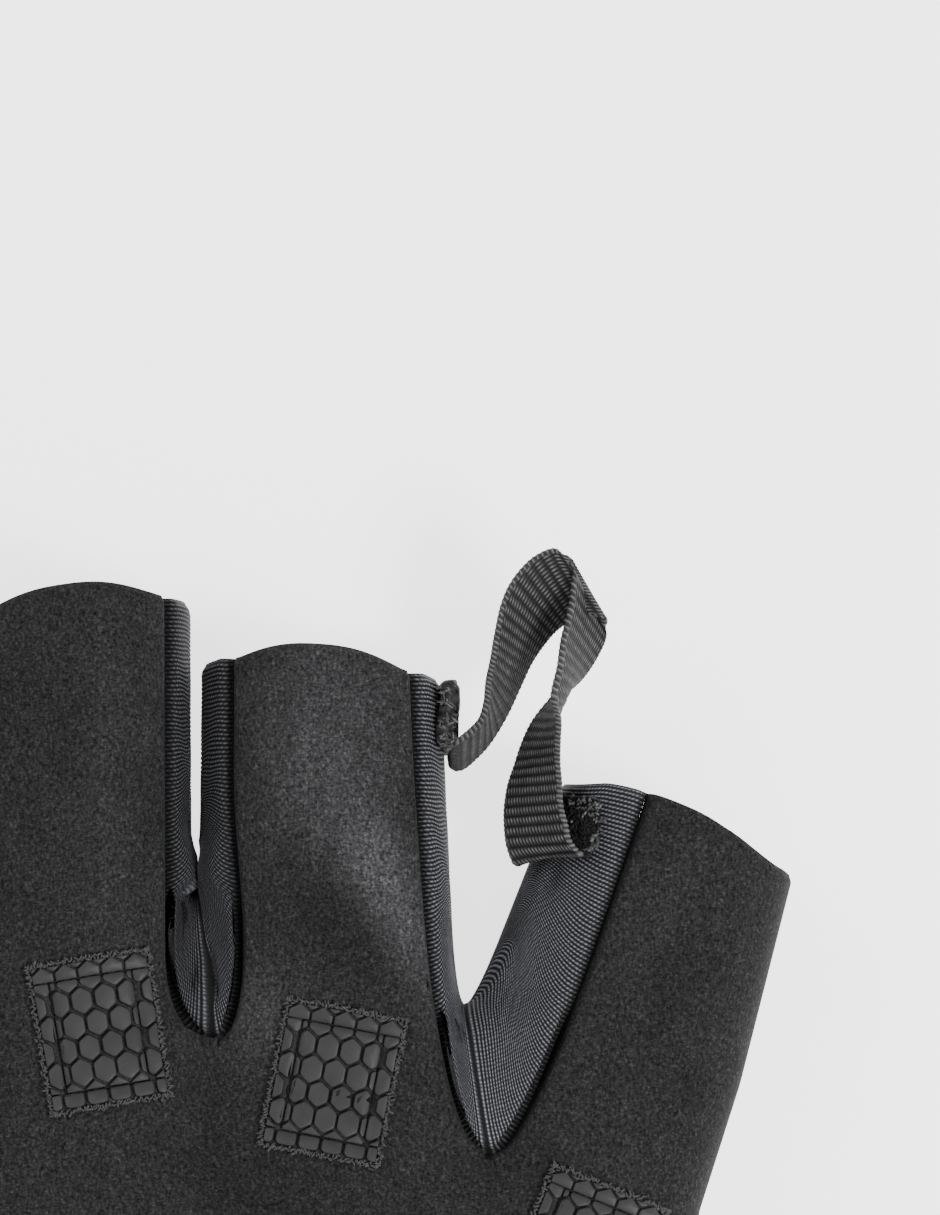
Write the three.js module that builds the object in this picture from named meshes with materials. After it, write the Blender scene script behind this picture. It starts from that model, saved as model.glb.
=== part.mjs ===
// A fingerless training glove for the left hand, lying on its back with the palm up.
// Millimetres, +Z up. The fingers point to +Y and the little finger is on the +X side.
//
// The glove is sewn from a suede palm and a knitted back, both with four finger lobes,
// three ribbed side strips between the fingers, a two-piece thumb, a wrist cuff with a
// hook-and-loop strap, four honeycomb grip patches and a webbing loop to pull it off by.
// Every fabric piece is an open, hollow wall that meets its neighbour along a seam.
import * as THREE from "three";

const { lerp: mix, clamp, smoothstep, degToRad, radToDeg } = THREE.MathUtils;

// Driving sizes of the hand part
const fingerPitch = 26.8; // from one finger to the next, across the knuckles
const stallWidth = 25.2; // width of a finger stall
const stallDepth = 18; // height of a finger stall, palm to back
const stallLength = 41.3; // ring finger stall, from its palm-side web seam to the tip
const palmLength = 88; // from the web seam to the wrist seam
const palmDepth = 25; // greatest height of the palm
const wristWidth = 76;
const wristDepth = 21;
const cuffLength = 28;
const rimArch = 2.9; // how far the middle of a stall's palm side stands past its sides
const rimCrown = 5; // how far that arch keeps to the middle

// Driving sizes of the thumb
const thumbWidth = 27;
const thumbDepth = 19;
const thumbReach = 47; // from the middle of its opening to its rim
const thumbTurn = 42; // degrees away from the fingers
const thumbOpening = 50; // length of the opening in the side of the palm
const thumbWeb = 1; // how squarely the thumb leaves the hand next to the index finger
const openingDown = 0.32; // where it starts, as a share of palmLength
const openingLift = 60; // degrees that the palm's edge moves up at its middle
const openingDrop = 22; // degrees that the back's edge moves down
const openingReach = 90; // degrees of the palm that take part

// Walls and clearances
const suedeWall = 1.3;
const knitWall = 1.2;
const ribWall = 1.1;
const cuffWall = 2.2;
const seamGap = 0.4; // between two pieces that are sewn together
const thumbGap = 0.5; // round the thumb, whose opening has tight corners
const layGap = 0.3; // under a piece that lies on another

// Strap, pull loop and grip patches
const strapWidth = 23;
const strapWall = 1.8;
const strapSpan = [10, 160]; // degrees round the cuff
const strapTip = 20; // degrees that its round tip takes up
const loopWidth = 8.4; // webbing
const loopWall = 1.1;
const hexPitch = 2.4; // honeycomb cell, centre to centre
const hexGroove = 0.42; // between two cells
const hexRise = 0.5;
const patchWall = 0.6;
const patchWidth = 12.8;
const patchLength = 16;

// Section shape: 2 is an ellipse, more is squarer
const crownPower = 2.5;
const solePower = 3.4;
const floorPress = 0.5; // how much lower the back would hang without the floor
// Side seam between palm and back, in degrees round a section from its right side
const sideSeam = 20;

// Fingers. across: knuckle in pitches from the ring finger. yaw: degrees to the right.
// reach, start, slope: shares of stallLength. root, tip: shares of stallWidth. deep: share of stallDepth.
// palmRight to backLeft: seams, in degrees round the section from its right side.
// flareRight, flareLeft: degrees that the palm seams part toward the fingertip.
const FINGERS = [
  {
    name: "index", across: -2.0, yaw: -5, reach: 1.0, root: 1.05, tip: 1.0, deep: 1.0, slope: -0.02,
    start: -0.1, palmRight: 38, palmLeft: 180 + sideSeam, backRight: -25, backLeft: 180 + sideSeam,
    flareRight: 2, flareLeft: 0,
  },
  {
    name: "middle", across: -1.02, yaw: -0.5, reach: 1.08, root: 1.03, tip: 1.03, deep: 1.04, slope: -0.045,
    start: 0, palmRight: 33, palmLeft: 137, backRight: -25, backLeft: 205, flareRight: 0, flareLeft: 3,
  },
  {
    name: "ring", across: 0.005, yaw: -1.2, reach: 0.93, root: 1.08, tip: 1.0, deep: 1.0, slope: 0.026,
    start: 0, palmRight: 44.5, palmLeft: 128, backRight: -25, backLeft: 205, flareRight: 4, flareLeft: 8,
  },
  {
    name: "little", across: 1.11, yaw: 18, reach: 0.552, root: 1.16, tip: 1.05, deep: 0.97, slope: 0.02,
    start: -0.33, palmRight: -sideSeam, palmLeft: 104, backRight: -sideSeam, backLeft: 205,
    flareRight: 0, flareLeft: 0,
  },
];

// Webs between neighbouring fingers, lowest point of the side strip at three depths.
// palm, crotch, back: shares of stallLength. skew: share of fingerPitch. meet: share of the way from the
// left finger's side to the right one's. closeLeft, closeRight, closeDeep: lengths over which the slot
// closes, at the two palm seams and deeper down, as shares of stallLength.
const WEBS = [
  {
    palm: -0.02, crotch: 0.36, back: 0.35, skew: 0, meet: 0.5,
    closeLeft: 0.21, closeRight: 0.21, closeDeep: 0.15,
  },
  {
    palm: 0.0, crotch: 0.385, back: 0.36, skew: 0.082, meet: 0.5,
    closeLeft: 0.21, closeRight: 0.21, closeDeep: 0.15,
  },
  {
    palm: -0.29, crotch: 0.095, back: 0.06, skew: 0.097, meet: 0.25,
    closeLeft: 1.09, closeRight: 0.6, closeDeep: 0.2,
  },
];

// The hand below the fingers. down: share of palmLength. left, right: 0 at the knuckles' edge
// and 1 at the wrist's. high: share of palmDepth.
const PALM = [
  { down: -0.1, left: -0.03, right: -0.08, high: 0.74 },
  { down: 0.0, left: 0.0, right: 0.0, high: 0.77 },
  { down: 0.15, left: 0.02, right: 0.09, high: 0.85 },
  { down: 0.4, left: 0.12, right: 0.29, high: 0.97 },
  { down: 0.65, left: 0.38, right: 0.53, high: 1.0 },
  { down: 0.85, left: 0.8, right: 0.83, high: 0.93 },
  { down: 1.0, left: 1.0, right: 1.0, high: wristDepth / palmDepth },
  { down: 1.35, left: 1.06, right: 1.04, high: (wristDepth * 0.98) / palmDepth },
];
const wristCentre = -0.6; // in pitches from the ring finger

// Broad hollows and swells of the palm side. x: pitches from the ring finger.
// down: share of palmLength. rise: share of stallDepth. size: share of fingerPitch.
const SWELLS = [
  { x: 0.1, down: -0.16, rise: -0.05, size: 0.32 },
  { x: -0.75, down: 0.42, rise: -0.13, size: 1.1 },
  { x: -1.75, down: 0.72, rise: 0.1, size: 0.8 },
  { x: 0.75, down: 0.55, rise: 0.07, size: 0.8 },
];

// Lengths at which a pull loop's cross-section is given, edge to edge, in millimetres from the ring
// finger's knuckle. near: the edge toward the palm side. far: the edge toward the back. bow: how far
// the middle stands off the line between the edges.
const LOOP = [
  { nearX: 13.1, nearY: 37.8, nearZ: 14.2, farX: 13.1, farY: 38.9, bow: 0.3 },
  { nearX: 13.2, nearY: 35, nearZ: 14.2, farX: 13.2, farY: 35.9, bow: 0.3 },
  { nearX: 13.2, nearY: 32.2, nearZ: 14.3, farX: 13.1, farY: 31.8, bow: 0.2 },
  { nearX: 13.4, nearY: 31.4, nearZ: 14.4, farX: 13.2, farY: 29.6, bow: 0 },
  { nearX: 14.4, nearY: 31.5, nearZ: 14.6, farX: 14.3, farY: 29.6, bow: 0 },
  { nearX: 16.2, nearY: 33.2, nearZ: 14.8, farX: 16.1, farY: 31.1, bow: 0 },
  { nearX: 16.9, nearY: 35.1, nearZ: 15, farX: 17.4, farY: 32.7, bow: 0 },
  { nearX: 17.2, nearY: 37.4, nearZ: 15.3, farX: 18.9, farY: 35.3, bow: 0 },
  { nearX: 17.7, nearY: 39.7, nearZ: 15.6, farX: 20.2, farY: 38.1, bow: 0 },
  { nearX: 18.1, nearY: 42.2, nearZ: 16, farX: 21.4, farY: 40.5, bow: 0 },
  { nearX: 18.7, nearY: 45.4, nearZ: 16.4, farX: 22.8, farY: 42.3, bow: 0 },
  { nearX: 19.8, nearY: 47.9, nearZ: 16.7, farX: 24.2, farY: 43.7, bow: 0 },
  { nearX: 21.7, nearY: 50.1, nearZ: 17, farX: 25.9, farY: 44.6, bow: 0 },
  { nearX: 23.9, nearY: 51.2, nearZ: 17.2, farX: 27.8, farY: 44.9, bow: 0 },
  { nearX: 25.1, nearY: 50.6, nearZ: 17.3, farX: 29.2, farY: 44.5, bow: 0 },
  { nearX: 26.1, nearY: 49.4, nearZ: 17.3, farX: 29.4, farY: 43.7, bow: 0 },
  { nearX: 26.1, nearY: 47.2, nearZ: 17.3, farX: 29.3, farY: 42.8, bow: 0 },
  { nearX: 25.8, nearY: 44.6, nearZ: 17.2, farX: 28.6, farY: 41.4, bow: 0 },
  { nearX: 25.1, nearY: 41.6, nearZ: 17, farX: 27.4, farY: 39.6, bow: 0 },
  { nearX: 24.8, nearY: 38.8, nearZ: 16.8, farX: 25.9, farY: 38.2, bow: 0 },
  { nearX: 24.1, nearY: 36, nearZ: 16.6, farX: 24.2, farY: 36.6, bow: 0 },
  { nearX: 24.1, nearY: 33.5, nearZ: 16.5, farX: 22.2, farY: 34.1, bow: 0 },
  { nearX: 24.1, nearY: 31.1, nearZ: 16.5, farX: 21, farY: 31.6, bow: 0 },
  { nearX: 24.1, nearY: 28.8, nearZ: 16.5, farX: 20, farY: 28.9, bow: 0 },
  { nearX: 24.3, nearY: 26.6, nearZ: 16.6, farX: 19.5, farY: 26.8, bow: 0 },
  { nearX: 24.6, nearY: 24.2, nearZ: 16.8, farX: 19.1, farY: 24.3, bow: 0 },
  { nearX: 24.9, nearY: 22.1, nearZ: 17.1, farX: 19.2, farY: 22.1, bow: 0 },
  { nearX: 25.8, nearY: 20.4, nearZ: 17.4, farX: 19.4, farY: 20.4, bow: 0.1 },
  { nearX: 26.4, nearY: 19.2, nearZ: 17.6, farX: 19.9, farY: 18.8, bow: 0.4 },
  { nearX: 27.1, nearY: 18.5, nearZ: 18.2, farX: 19.9, farY: 18.1, bow: 0.8 },
  { nearX: 27.9, nearY: 18.9, nearZ: 18.1, farX: 20.5, farY: 18.9, bow: 1.2 },
  { nearX: 28.4, nearY: 20.5, nearZ: 17.5, farX: 21.3, farY: 21.1, bow: 1.2 },
  { nearX: 28.5, nearY: 22.6, nearZ: 17, farX: 21.9, farY: 23.3, bow: 1.2 },
  { nearX: 28.3, nearY: 24.9, nearZ: 17, farX: 22.5, farY: 25.8, bow: 1.2 },
];

// Grip patches. across: middle of the top edge, in pitches from the ring finger. up: the same point's
// height above the knuckles, as a share of stallLength. turn: degrees to the right.
const PATCHES = [
  { name: "grip_patch_index", across: -1.922, up: 0.078, turn: -13 },
  { name: "grip_patch_middle", across: -0.929, up: 0.201, turn: -10 },
  { name: "grip_patch_ring", across: 0.09, up: 0.073, turn: 11 },
  { name: "grip_patch_little", across: 1.112, up: -0.375, turn: 22 },
];

// Mesh steps
const rowsAboveThumb = 3;
const rowsAtThumb = 7;
const rowsBelowThumb = 2;
const stallRows = 8;
const sideColumns = 6;

// Value of a column of a table between its rows, on a smooth curve.
function along(table, key, column, at) {
  const last = table.length - 1;
  let i = 0;
  while (i < last - 1 && at > table[i + 1][key]) i++;
  const slope = (a, b) => (table[b][column] - table[a][column]) / (table[b][key] - table[a][key]);
  const span = table[i + 1][key] - table[i][key];
  const t = clamp((at - table[i][key]) / span, 0, 1);
  const m0 = slope(Math.max(i - 1, 0), i + 1) * span;
  const m1 = slope(i, Math.min(i + 2, last)) * span;
  const [t2, t3] = [t * t, t * t * t];
  return (
    (2 * t3 - 3 * t2 + 1) * table[i][column] +
    (t3 - 2 * t2 + t) * m0 +
    (3 * t2 - 2 * t3) * table[i + 1][column] +
    (t3 - t2) * m1
  );
}

// A point of the rounded section, from -1 to 1 each way, at degrees round from its right side.
function rounded(angle) {
  const c = Math.cos(degToRad(angle));
  const s = Math.sin(degToRad(angle));
  const power = 2 / (s > 0 ? crownPower : solePower);
  return [Math.sign(c) * Math.abs(c) ** power, Math.sign(s) * Math.abs(s) ** power];
}

// Height of a section that stands on the floor, pressed flat where it would sink in.
function standing(high, up) {
  return Math.max(0, ((high + floorPress) / 2) * (1 + up) - floorPress);
}

// Finger stalls

for (const finger of FINGERS) {
  const yaw = degToRad(finger.yaw);
  finger.length = finger.reach * stallLength;
  finger.knuckle = new THREE.Vector3(finger.across * fingerPitch, 0, 0);
  finger.ahead = new THREE.Vector3(Math.sin(yaw), Math.cos(yaw), 0);
  finger.right = new THREE.Vector3(Math.cos(yaw), -Math.sin(yaw), 0);
}

// The plain tube of a stall: degrees round it, and s along it from the knuckle line.
function tube(finger, angle, s) {
  const half = (stallWidth / 2) * mix(finger.root, finger.tip, clamp(s / finger.length, 0, 1));
  const [across, up] = rounded(angle);
  return finger.knuckle
    .clone()
    .addScaledVector(finger.ahead, s)
    .addScaledVector(finger.right, half * across)
    .setZ(standing(finger.deep * stallDepth, up));
}

// A web joins the right side of one finger to the left side of the next.
WEBS.forEach((web, i) => {
  const [a, b] = [FINGERS[i], FINGERS[i + 1]];
  const crotchY = web.crotch * stallLength;
  const sideA = tube(a, 0, crotchY / a.ahead.y);
  const sideB = tube(b, 180, crotchY / b.ahead.y);
  web.x = mix(sideA.x, sideB.x, web.meet);
  web.top = (tube(a, a.palmRight, 0).z + tube(b, b.palmLeft, 0).z) / 2;
  web.foot = (tube(a, a.backRight, 0).z + tube(b, b.backLeft, 0).z) / 2;
  const { closeLeft, closeRight } = web;
  a.rightSide = {
    web, close: closeLeft, palm: a.palmRight, flare: -a.flareRight, back: a.backRight, middle: [91, -90],
  };
  b.leftSide = {
    web, close: closeRight, palm: b.palmLeft, flare: b.flareLeft, back: b.backLeft, middle: [91, 270],
  };
});

// The lowest line of a side strip: v runs from the palm seam, 0, to the back seam, 1.
function webPoint(web, v) {
  const inner = smoothstep(v, 0, 0.45);
  const outer = smoothstep(v, 0.55, 1);
  const y = mix(mix(web.palm, web.crotch, inner), web.back, outer) * stallLength;
  const x = web.x + web.skew * fingerPitch * (1 - inner);
  return new THREE.Vector3(x, y, mix(web.top, web.foot, v));
}

// 1 at the web, falling to 0 at reach above it, so that the slot has a round bottom.
function closeness(distance, reach) {
  const t = clamp(1 - distance / reach, 0, 1);
  return 1 - Math.sqrt(1 - t * t);
}

// How far along the finger its web lies, at share v of the side strip.
function webStart(finger, side, v) {
  return webPoint(side.web, v).sub(finger.knuckle).dot(finger.ahead);
}

// Broad hollows and swells of the palm side.
function swell(point) {
  let rise = 0;
  for (const s of SWELLS) {
    const dx = (point.x / fingerPitch - s.x) / s.size;
    const dy = (-point.y - s.down * palmLength) / (fingerPitch * s.size);
    rise += s.rise * stallDepth * Math.exp(-(dx * dx) - dy * dy);
  }
  return point.setZ(point.z + rise * smoothstep(point.z / stallDepth, 0.45, 0.85));
}

// The outer face of a stall, drawn in to its webs at the root.
function skin(finger, angle, s) {
  const point = tube(finger, angle, s);
  for (const side of [finger.rightSide, finger.leftSide]) {
    if (!side) continue;
    const a = side === finger.rightSide && angle > 200 ? angle - 360 : angle;
    const share = (side.palm - a) / (side.palm - side.back);
    const v = clamp(share, 0, 1);
    const middle = side.middle[share < 0 ? 0 : 1];
    const seam = share < 0 ? side.palm : side.back;
    const hold = share === v ? 1 : clamp((a - middle) / (seam - middle), 0, 1);
    const start = webStart(finger, side, v);
    const reach = stallLength * mix(side.close, side.web.closeDeep, smoothstep(v, 0, 0.5));
    const near = closeness(s - start, reach) * hold;
    if (!near) continue;
    const pull = webPoint(side.web, v).sub(tube(finger, mix(side.palm, side.back, v), start));
    point.addScaledVector(pull, near);
  }
  return swell(point);
}

// Where a stall meets the hand on its palm or back side, and where it ends.
function stallStart(finger, angle, palmSide) {
  const { rightSide: right, leftSide: left } = finger;
  const outer = finger.start * stallLength;
  const v = palmSide ? 0 : 1;
  const from = right ? webStart(finger, right, v) : outer;
  const to = left ? webStart(finger, left, v) : outer;
  const range = palmSide
    ? [finger.palmRight, finger.palmLeft]
    : [finger.backRight + 360, finger.backLeft];
  return mix(from, to, clamp((angle - range[0]) / (range[1] - range[0]), 0, 1));
}

function stallEnd(finger, angle) {
  const [across, up] = rounded(angle);
  const arch = rimArch * (up > 0 ? up ** rimCrown : 0.5 * up * up);
  return finger.length + arch - finger.slope * stallLength * across;
}

// Degrees from a palm seam's angle at the root to its angle at share t of the stall.
const flared = (side, t) => (side ? side.flare * smoothstep(t, 0.25, 0.7) : 0);

// The hand below the fingers

const [index, , , little] = FINGERS;
const knuckleLeft = tube(index, 180, 0).x;
const knuckleRight = tube(little, 0, 0).x;
const wristLeft = wristCentre * fingerPitch - wristWidth / 2;
const wristRight = wristCentre * fingerPitch + wristWidth / 2;

function section(y) {
  const down = -y / palmLength;
  const left = mix(knuckleLeft, wristLeft, along(PALM, "down", "left", down));
  const right = mix(knuckleRight, wristRight, along(PALM, "down", "right", down));
  return {
    centre: (left + right) / 2,
    half: (right - left) / 2,
    high: palmDepth * along(PALM, "down", "high", down),
  };
}

function body(angle, y) {
  const { centre, half, high } = section(y);
  const [across, up] = rounded(angle);
  return swell(new THREE.Vector3(centre + half * across, y, standing(high, up)));
}

// The angle round the hand's section at which it has that x, on the palm side or the back.
function bodyAngle(x, y, palmSide) {
  const { centre, half } = section(y);
  const across = clamp((x - centre) / half, -1, 1);
  const c = Math.sign(across) * Math.abs(across) ** ((palmSide ? crownPower : solePower) / 2);
  const angle = radToDeg(Math.acos(c));
  return palmSide ? angle : 360 - angle;
}

// The thumb opening parts the left side seam: the palm's edge moves up and the back's moves down.
const leftSeam = 180 + sideSeam;
const openingTop = -openingDown * palmLength;
const openingFoot = openingTop - thumbOpening;

function opened(angle, y, palmSide) {
  const share = clamp((y - openingTop) / (openingFoot - openingTop), 0, 1);
  const wide = Math.sqrt(share * (1 - share)) * 2;
  const far = palmSide ? leftSeam - openingReach : 270;
  const near = clamp((angle - far) / (leftSeam - far), 0, 1);
  return angle + (palmSide ? -openingLift : openingDrop) * wide * near ** 1.5;
}

// Rows down the hand, as shares of the way from the fingers to the wrist.
const leftTop = tube(index, leftSeam, index.start * stallLength).y;
const rowOf = (y) => (leftTop - y) / (leftTop + palmLength);
const steps = (count, power = 1) => Array.from({ length: count + 1 }, (_, i) => (i / count) ** power);
const openingRow = (share) =>
  mix(rowOf(openingTop), rowOf(openingFoot), (1 - Math.cos(Math.PI * share)) / 2);
const HAND_ROWS = [
  ...steps(rowsAboveThumb).slice(0, -1).map((r) => r * rowOf(openingTop)),
  ...steps(rowsAtThumb).slice(0, -1).map(openingRow),
  ...steps(rowsBelowThumb).map((r) => mix(openingRow(1), 1, r)),
];

// A column that continues a finger's strip from its root down to the wrist.
function column(finger, angle, row, palmSide) {
  const top = skin(finger, angle, stallStart(finger, angle, palmSide));
  const middle = palmSide ? 90 : 270;
  const outer = palmSide === angle > middle ? !finger.leftSide : !finger.rightSide;
  let at = bodyAngle(top.x, top.y, palmSide);
  if (outer) {
    const inner = skin(finger, middle, stallStart(finger, middle, palmSide));
    const rightSeam = palmSide ? -sideSeam : 360 - sideSeam;
    const edge = finger.leftSide ? rightSeam : leftSeam;
    at = mix(bodyAngle(inner.x, inner.y, palmSide), edge, (angle - middle) / (edge - middle));
  }
  const y = mix(top.y, -palmLength, row);
  const settle = (1 - smoothstep(row, 0, 0.3)) ** 1.5;
  const offset = top.sub(body(opened(at, top.y, palmSide), top.y));
  return body(opened(at, y, palmSide), y).add(offset.multiplyScalar(settle));
}

// The thumb stall, from the thumb opening to its rim.
const thumbYaw = degToRad(-thumbTurn);
const thumbAhead = new THREE.Vector3(Math.sin(thumbYaw), Math.cos(thumbYaw), 0);
const thumbRight = new THREE.Vector3(Math.cos(thumbYaw), -Math.sin(thumbYaw), 0);
const thumbRoot = body(180, (openingTop + openingFoot) / 2).setZ(0);

function thumb(share, t, palmSide) {
  const base = column(index, leftSeam, openingRow(share), palmSide);
  const [across, up] = rounded(palmSide ? 180 * share : 360 - 180 * share);
  const rim = thumbRoot
    .clone()
    .addScaledVector(thumbAhead, thumbReach + rimArch * Math.abs(up))
    .addScaledVector(thumbRight, (thumbWidth / 2) * across)
    .setZ(standing(thumbDepth, up));
  const run = base.distanceTo(rim);
  const [t2, t3] = [t * t, t * t * t];
  return base
    .multiplyScalar(2 * t3 - 3 * t2 + 1)
    .addScaledVector(thumbAhead, run * (2 * t3 - 3 * t2 + t))
    .addScaledVector(thumbRight, -thumbWeb * run * (1 - share) ** 2 * (t3 - 2 * t2 + t))
    .addScaledVector(rim, 3 * t2 - 2 * t3);
}

// Fabric. A grid is rows of points. Pieces that are sewn together share the points of the seam.

const points = [];
const pointIds = new Map();
const fabric = [];

function pointId(point) {
  const key = point.toArray().map((x) => Math.round(x * 300)).join();
  if (!pointIds.has(key)) pointIds.set(key, points.push(point) - 1);
  return pointIds.get(key);
}

function facesOf(surface, us, vs, flip) {
  const ids = us.map((u) => vs.map((v) => pointId(surface(u, v))));
  const faces = [];
  for (let i = 0; i + 1 < ids.length; i++)
    for (let j = 0; j + 1 < vs.length; j++) {
      const quad = [ids[i][j], ids[i + 1][j], ids[i + 1][j + 1], ids[i][j + 1]];
      if (flip) quad.reverse();
      const [a, b, c, d] = quad;
      for (const face of [[a, b, c], [a, c, d]]) if (new Set(face).size === 3) faces.push(face);
    }
  return faces;
}

// One strip of a panel for each finger, from its rim down to the wrist.
function panelFaces(palmSide) {
  return FINGERS.flatMap((finger) => {
    const { rightSide: right, leftSide: left } = finger;
    const angleAt = (c, t = 0) =>
      palmSide
        ? mix(finger.palmRight + flared(right, t), finger.palmLeft + flared(left, t), c)
        : mix(finger.backLeft, finger.backRight + 360, c);
    const onEdge = !left || !right;
    const columns = steps(palmSide ? (onEdge ? 9 : 6) : onEdge ? 7 : 5);
    const stall = (c, t) => {
      const angle = angleAt(c, t);
      const start = stallStart(finger, angleAt(c), palmSide);
      return skin(finger, angle, mix(start, stallEnd(finger, angle), t));
    };
    const hand = (c, row) => column(finger, angleAt(c), row, palmSide);
    return [
      ...facesOf(stall, columns, steps(stallRows, 2), true),
      ...facesOf(hand, columns, HAND_ROWS, false),
    ];
  });
}

// The two legs of a ribbed side strip, joined along the web.
function sideStripFaces(web) {
  return FINGERS.flatMap((finger) =>
    [finger.rightSide, finger.leftSide].flatMap((side) => {
      if (!side || side.web !== web) return [];
      const leg = (v, t) => {
        const angle = mix(side.palm + flared(side, t), side.back, v);
        return skin(finger, angle, mix(webStart(finger, side, v), stallEnd(finger, angle), t));
      };
      return facesOf(leg, steps(sideColumns), steps(stallRows, 2), side === finger.leftSide);
    }),
  );
}

const cuffAngles = steps(36).map((a) => 360 * a);
const cuff = (angle, share) => body(angle % 360, -palmLength - cuffLength * share);

// The strap crosses the palm side of the cuff and ends in a round tip.
function strap(angle, share) {
  const [from, to] = strapSpan;
  const past = clamp((angle - (to - strapTip)) / strapTip, 0, 1);
  const half = (strapWidth / 2) * Math.sqrt(1 - 0.75 * past * past);
  const y = -palmLength - cuffLength / 2 + half * mix(1, -1, share);
  const out = body(angle + 1, y).sub(body(angle - 1, y)).cross(new THREE.Vector3(0, 1, 0));
  return body(angle, y).addScaledVector(out.normalize(), -(layGap + strapWall));
}

// The pull loop, from edge to edge across its webbing.
function pullLoop(row, share) {
  const at = LOOP[row];
  const near = new THREE.Vector3(at.nearX, at.nearY, at.nearZ);
  const dx = at.farX - at.nearX;
  const dy = at.farY - at.nearY;
  const across = new THREE.Vector3(dx, dy, -Math.sqrt(loopWidth ** 2 - dx * dx - dy * dy));
  const [before, after] = [LOOP[Math.max(row - 1, 0)], LOOP[Math.min(row + 1, LOOP.length - 1)]];
  const ahead = new THREE.Vector3(after.nearX - before.nearX, after.nearY - before.nearY, 0);
  const out = ahead.cross(across).normalize();
  const bow = 4 * share * (1 - share) * at.bow + loopWall / 2;
  return near.addScaledVector(across, share).addScaledVector(out, bow);
}

const glove = new THREE.Group();

function addPiece(name, geometry, colour, roughness) {
  const material = new THREE.MeshStandardMaterial({ color: colour, roughness, metalness: 0 });
  const mesh = new THREE.Mesh(geometry, material);
  mesh.name = name;
  glove.add(mesh);
  return mesh;
}

const suede = [0x3c3c3e, 0.95];
const knit = [0x38393d, 0.9];
const rib = [0x3a3b41, 0.85];
const web = [0x39393b, 0.8];

function cut(name, wall, [colour, roughness], faces, gap = seamGap) {
  fabric.push({ name, wall, colour, roughness, faces, gap });
}

cut("palm_panel", suedeWall, suede, panelFaces(true));
cut("back_panel", knitWall, knit, panelFaces(false));
cut("side_strip_index_middle", ribWall, rib, sideStripFaces(WEBS[0]));
cut("side_strip_middle_ring", ribWall, rib, sideStripFaces(WEBS[1]));
cut("side_strip_ring_little", ribWall, rib, sideStripFaces(WEBS[2]));
const thumbFaces = (palmSide) =>
  facesOf((q, t) => thumb(q, t, palmSide), steps(rowsAtThumb), steps(6), palmSide);
cut("thumb_palm", suedeWall, suede, thumbFaces(true), thumbGap);
cut("thumb_back", knitWall, knit, thumbFaces(false), thumbGap);
cut("wrist_cuff", cuffWall, knit, facesOf(cuff, cuffAngles, steps(3), false));
const strapAngles = cuffAngles.filter((a) => a >= strapSpan[0] && a <= strapSpan[1]);
cut("wrist_strap", strapWall, knit, facesOf(strap, strapAngles, steps(3), false));
const loopRows = LOOP.map((_, i) => i);
cut("pull_loop", loopWall, web, facesOf(pullLoop, loopRows, steps(3), false));

// Normals are shared across the seams, so that both walls are mitred where they meet.
const normals = points.map(() => new THREE.Vector3());
for (const { faces } of fabric)
  for (const face of faces) {
    const [a, b, c] = face.map((i) => points[i]);
    const area = b.clone().sub(a).cross(c.clone().sub(a)).normalize();
    face.forEach((id, k) => {
      const to = points[face[(k + 1) % 3]].clone().sub(points[id]);
      const from = points[face[(k + 2) % 3]].clone().sub(points[id]);
      normals[id].addScaledVector(area, to.angleTo(from));
    });
  }
normals.forEach((n) => n.normalize());

// Gives a piece its thickness, and draws its edges back by half the seam's gap.
function wallOf({ faces, wall, gap }) {
  const edges = new Map();
  for (const f of faces)
    for (let k = 0; k < 3; k++) edges.set(f[k] + "," + f[(k + 1) % 3], f[(k + 2) % 3]);
  const open = [...edges].filter(([edge]) => !edges.has(edge.split(",").reverse().join()));
  const inward = new Map();
  for (const [edge, third] of open) {
    const ends = edge.split(",").map(Number);
    const [a, b, c] = [...ends, third].map((i) => points[i]);
    const along = b.clone().sub(a).normalize();
    const side = c.clone().sub(a);
    side.addScaledVector(along, -side.dot(along)).normalize();
    for (const i of ends) inward.set(i, (inward.get(i) ?? new THREE.Vector3()).add(side));
  }
  const ids = new Map();
  const outer = [];
  const inner = [];
  for (const i of faces.flat()) {
    if (ids.has(i)) continue;
    ids.set(i, outer.length);
    const point = points[i].clone();
    if (inward.has(i)) {
      const side = inward.get(i);
      const turn = clamp(side.length() / 2, 0.6, 1);
      point.addScaledVector(side.normalize(), gap / 2 / turn);
    }
    outer.push(point);
    inner.push(point.clone().addScaledVector(normals[i], -wall));
  }
  const count = outer.length;
  const all = [];
  for (const face of faces) {
    const [a, b, c] = face.map((i) => ids.get(i));
    all.push(a, b, c, c + count, b + count, a + count);
  }
  for (const [edge] of open) {
    const [a, b] = edge.split(",").map((i) => ids.get(Number(i)));
    all.push(b, a, a + count, b, a + count, b + count);
  }
  const geometry = new THREE.BufferGeometry().setFromPoints([...outer, ...inner]);
  return geometry.setIndex(all);
}

for (const piece of fabric) addPiece(piece.name, wallOf(piece), piece.colour, piece.roughness);

// Grip patches: honeycomb cells on a thin sheet that follows the palm.

const palmPanel = glove.getObjectByName("palm_panel");
const ray = new THREE.Raycaster();

function palmHeight(x, y) {
  ray.set(new THREE.Vector3(x, y, 3 * palmDepth), new THREE.Vector3(0, 0, -1));
  return ray.intersectObject(palmPanel)[0].point.z;
}

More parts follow.
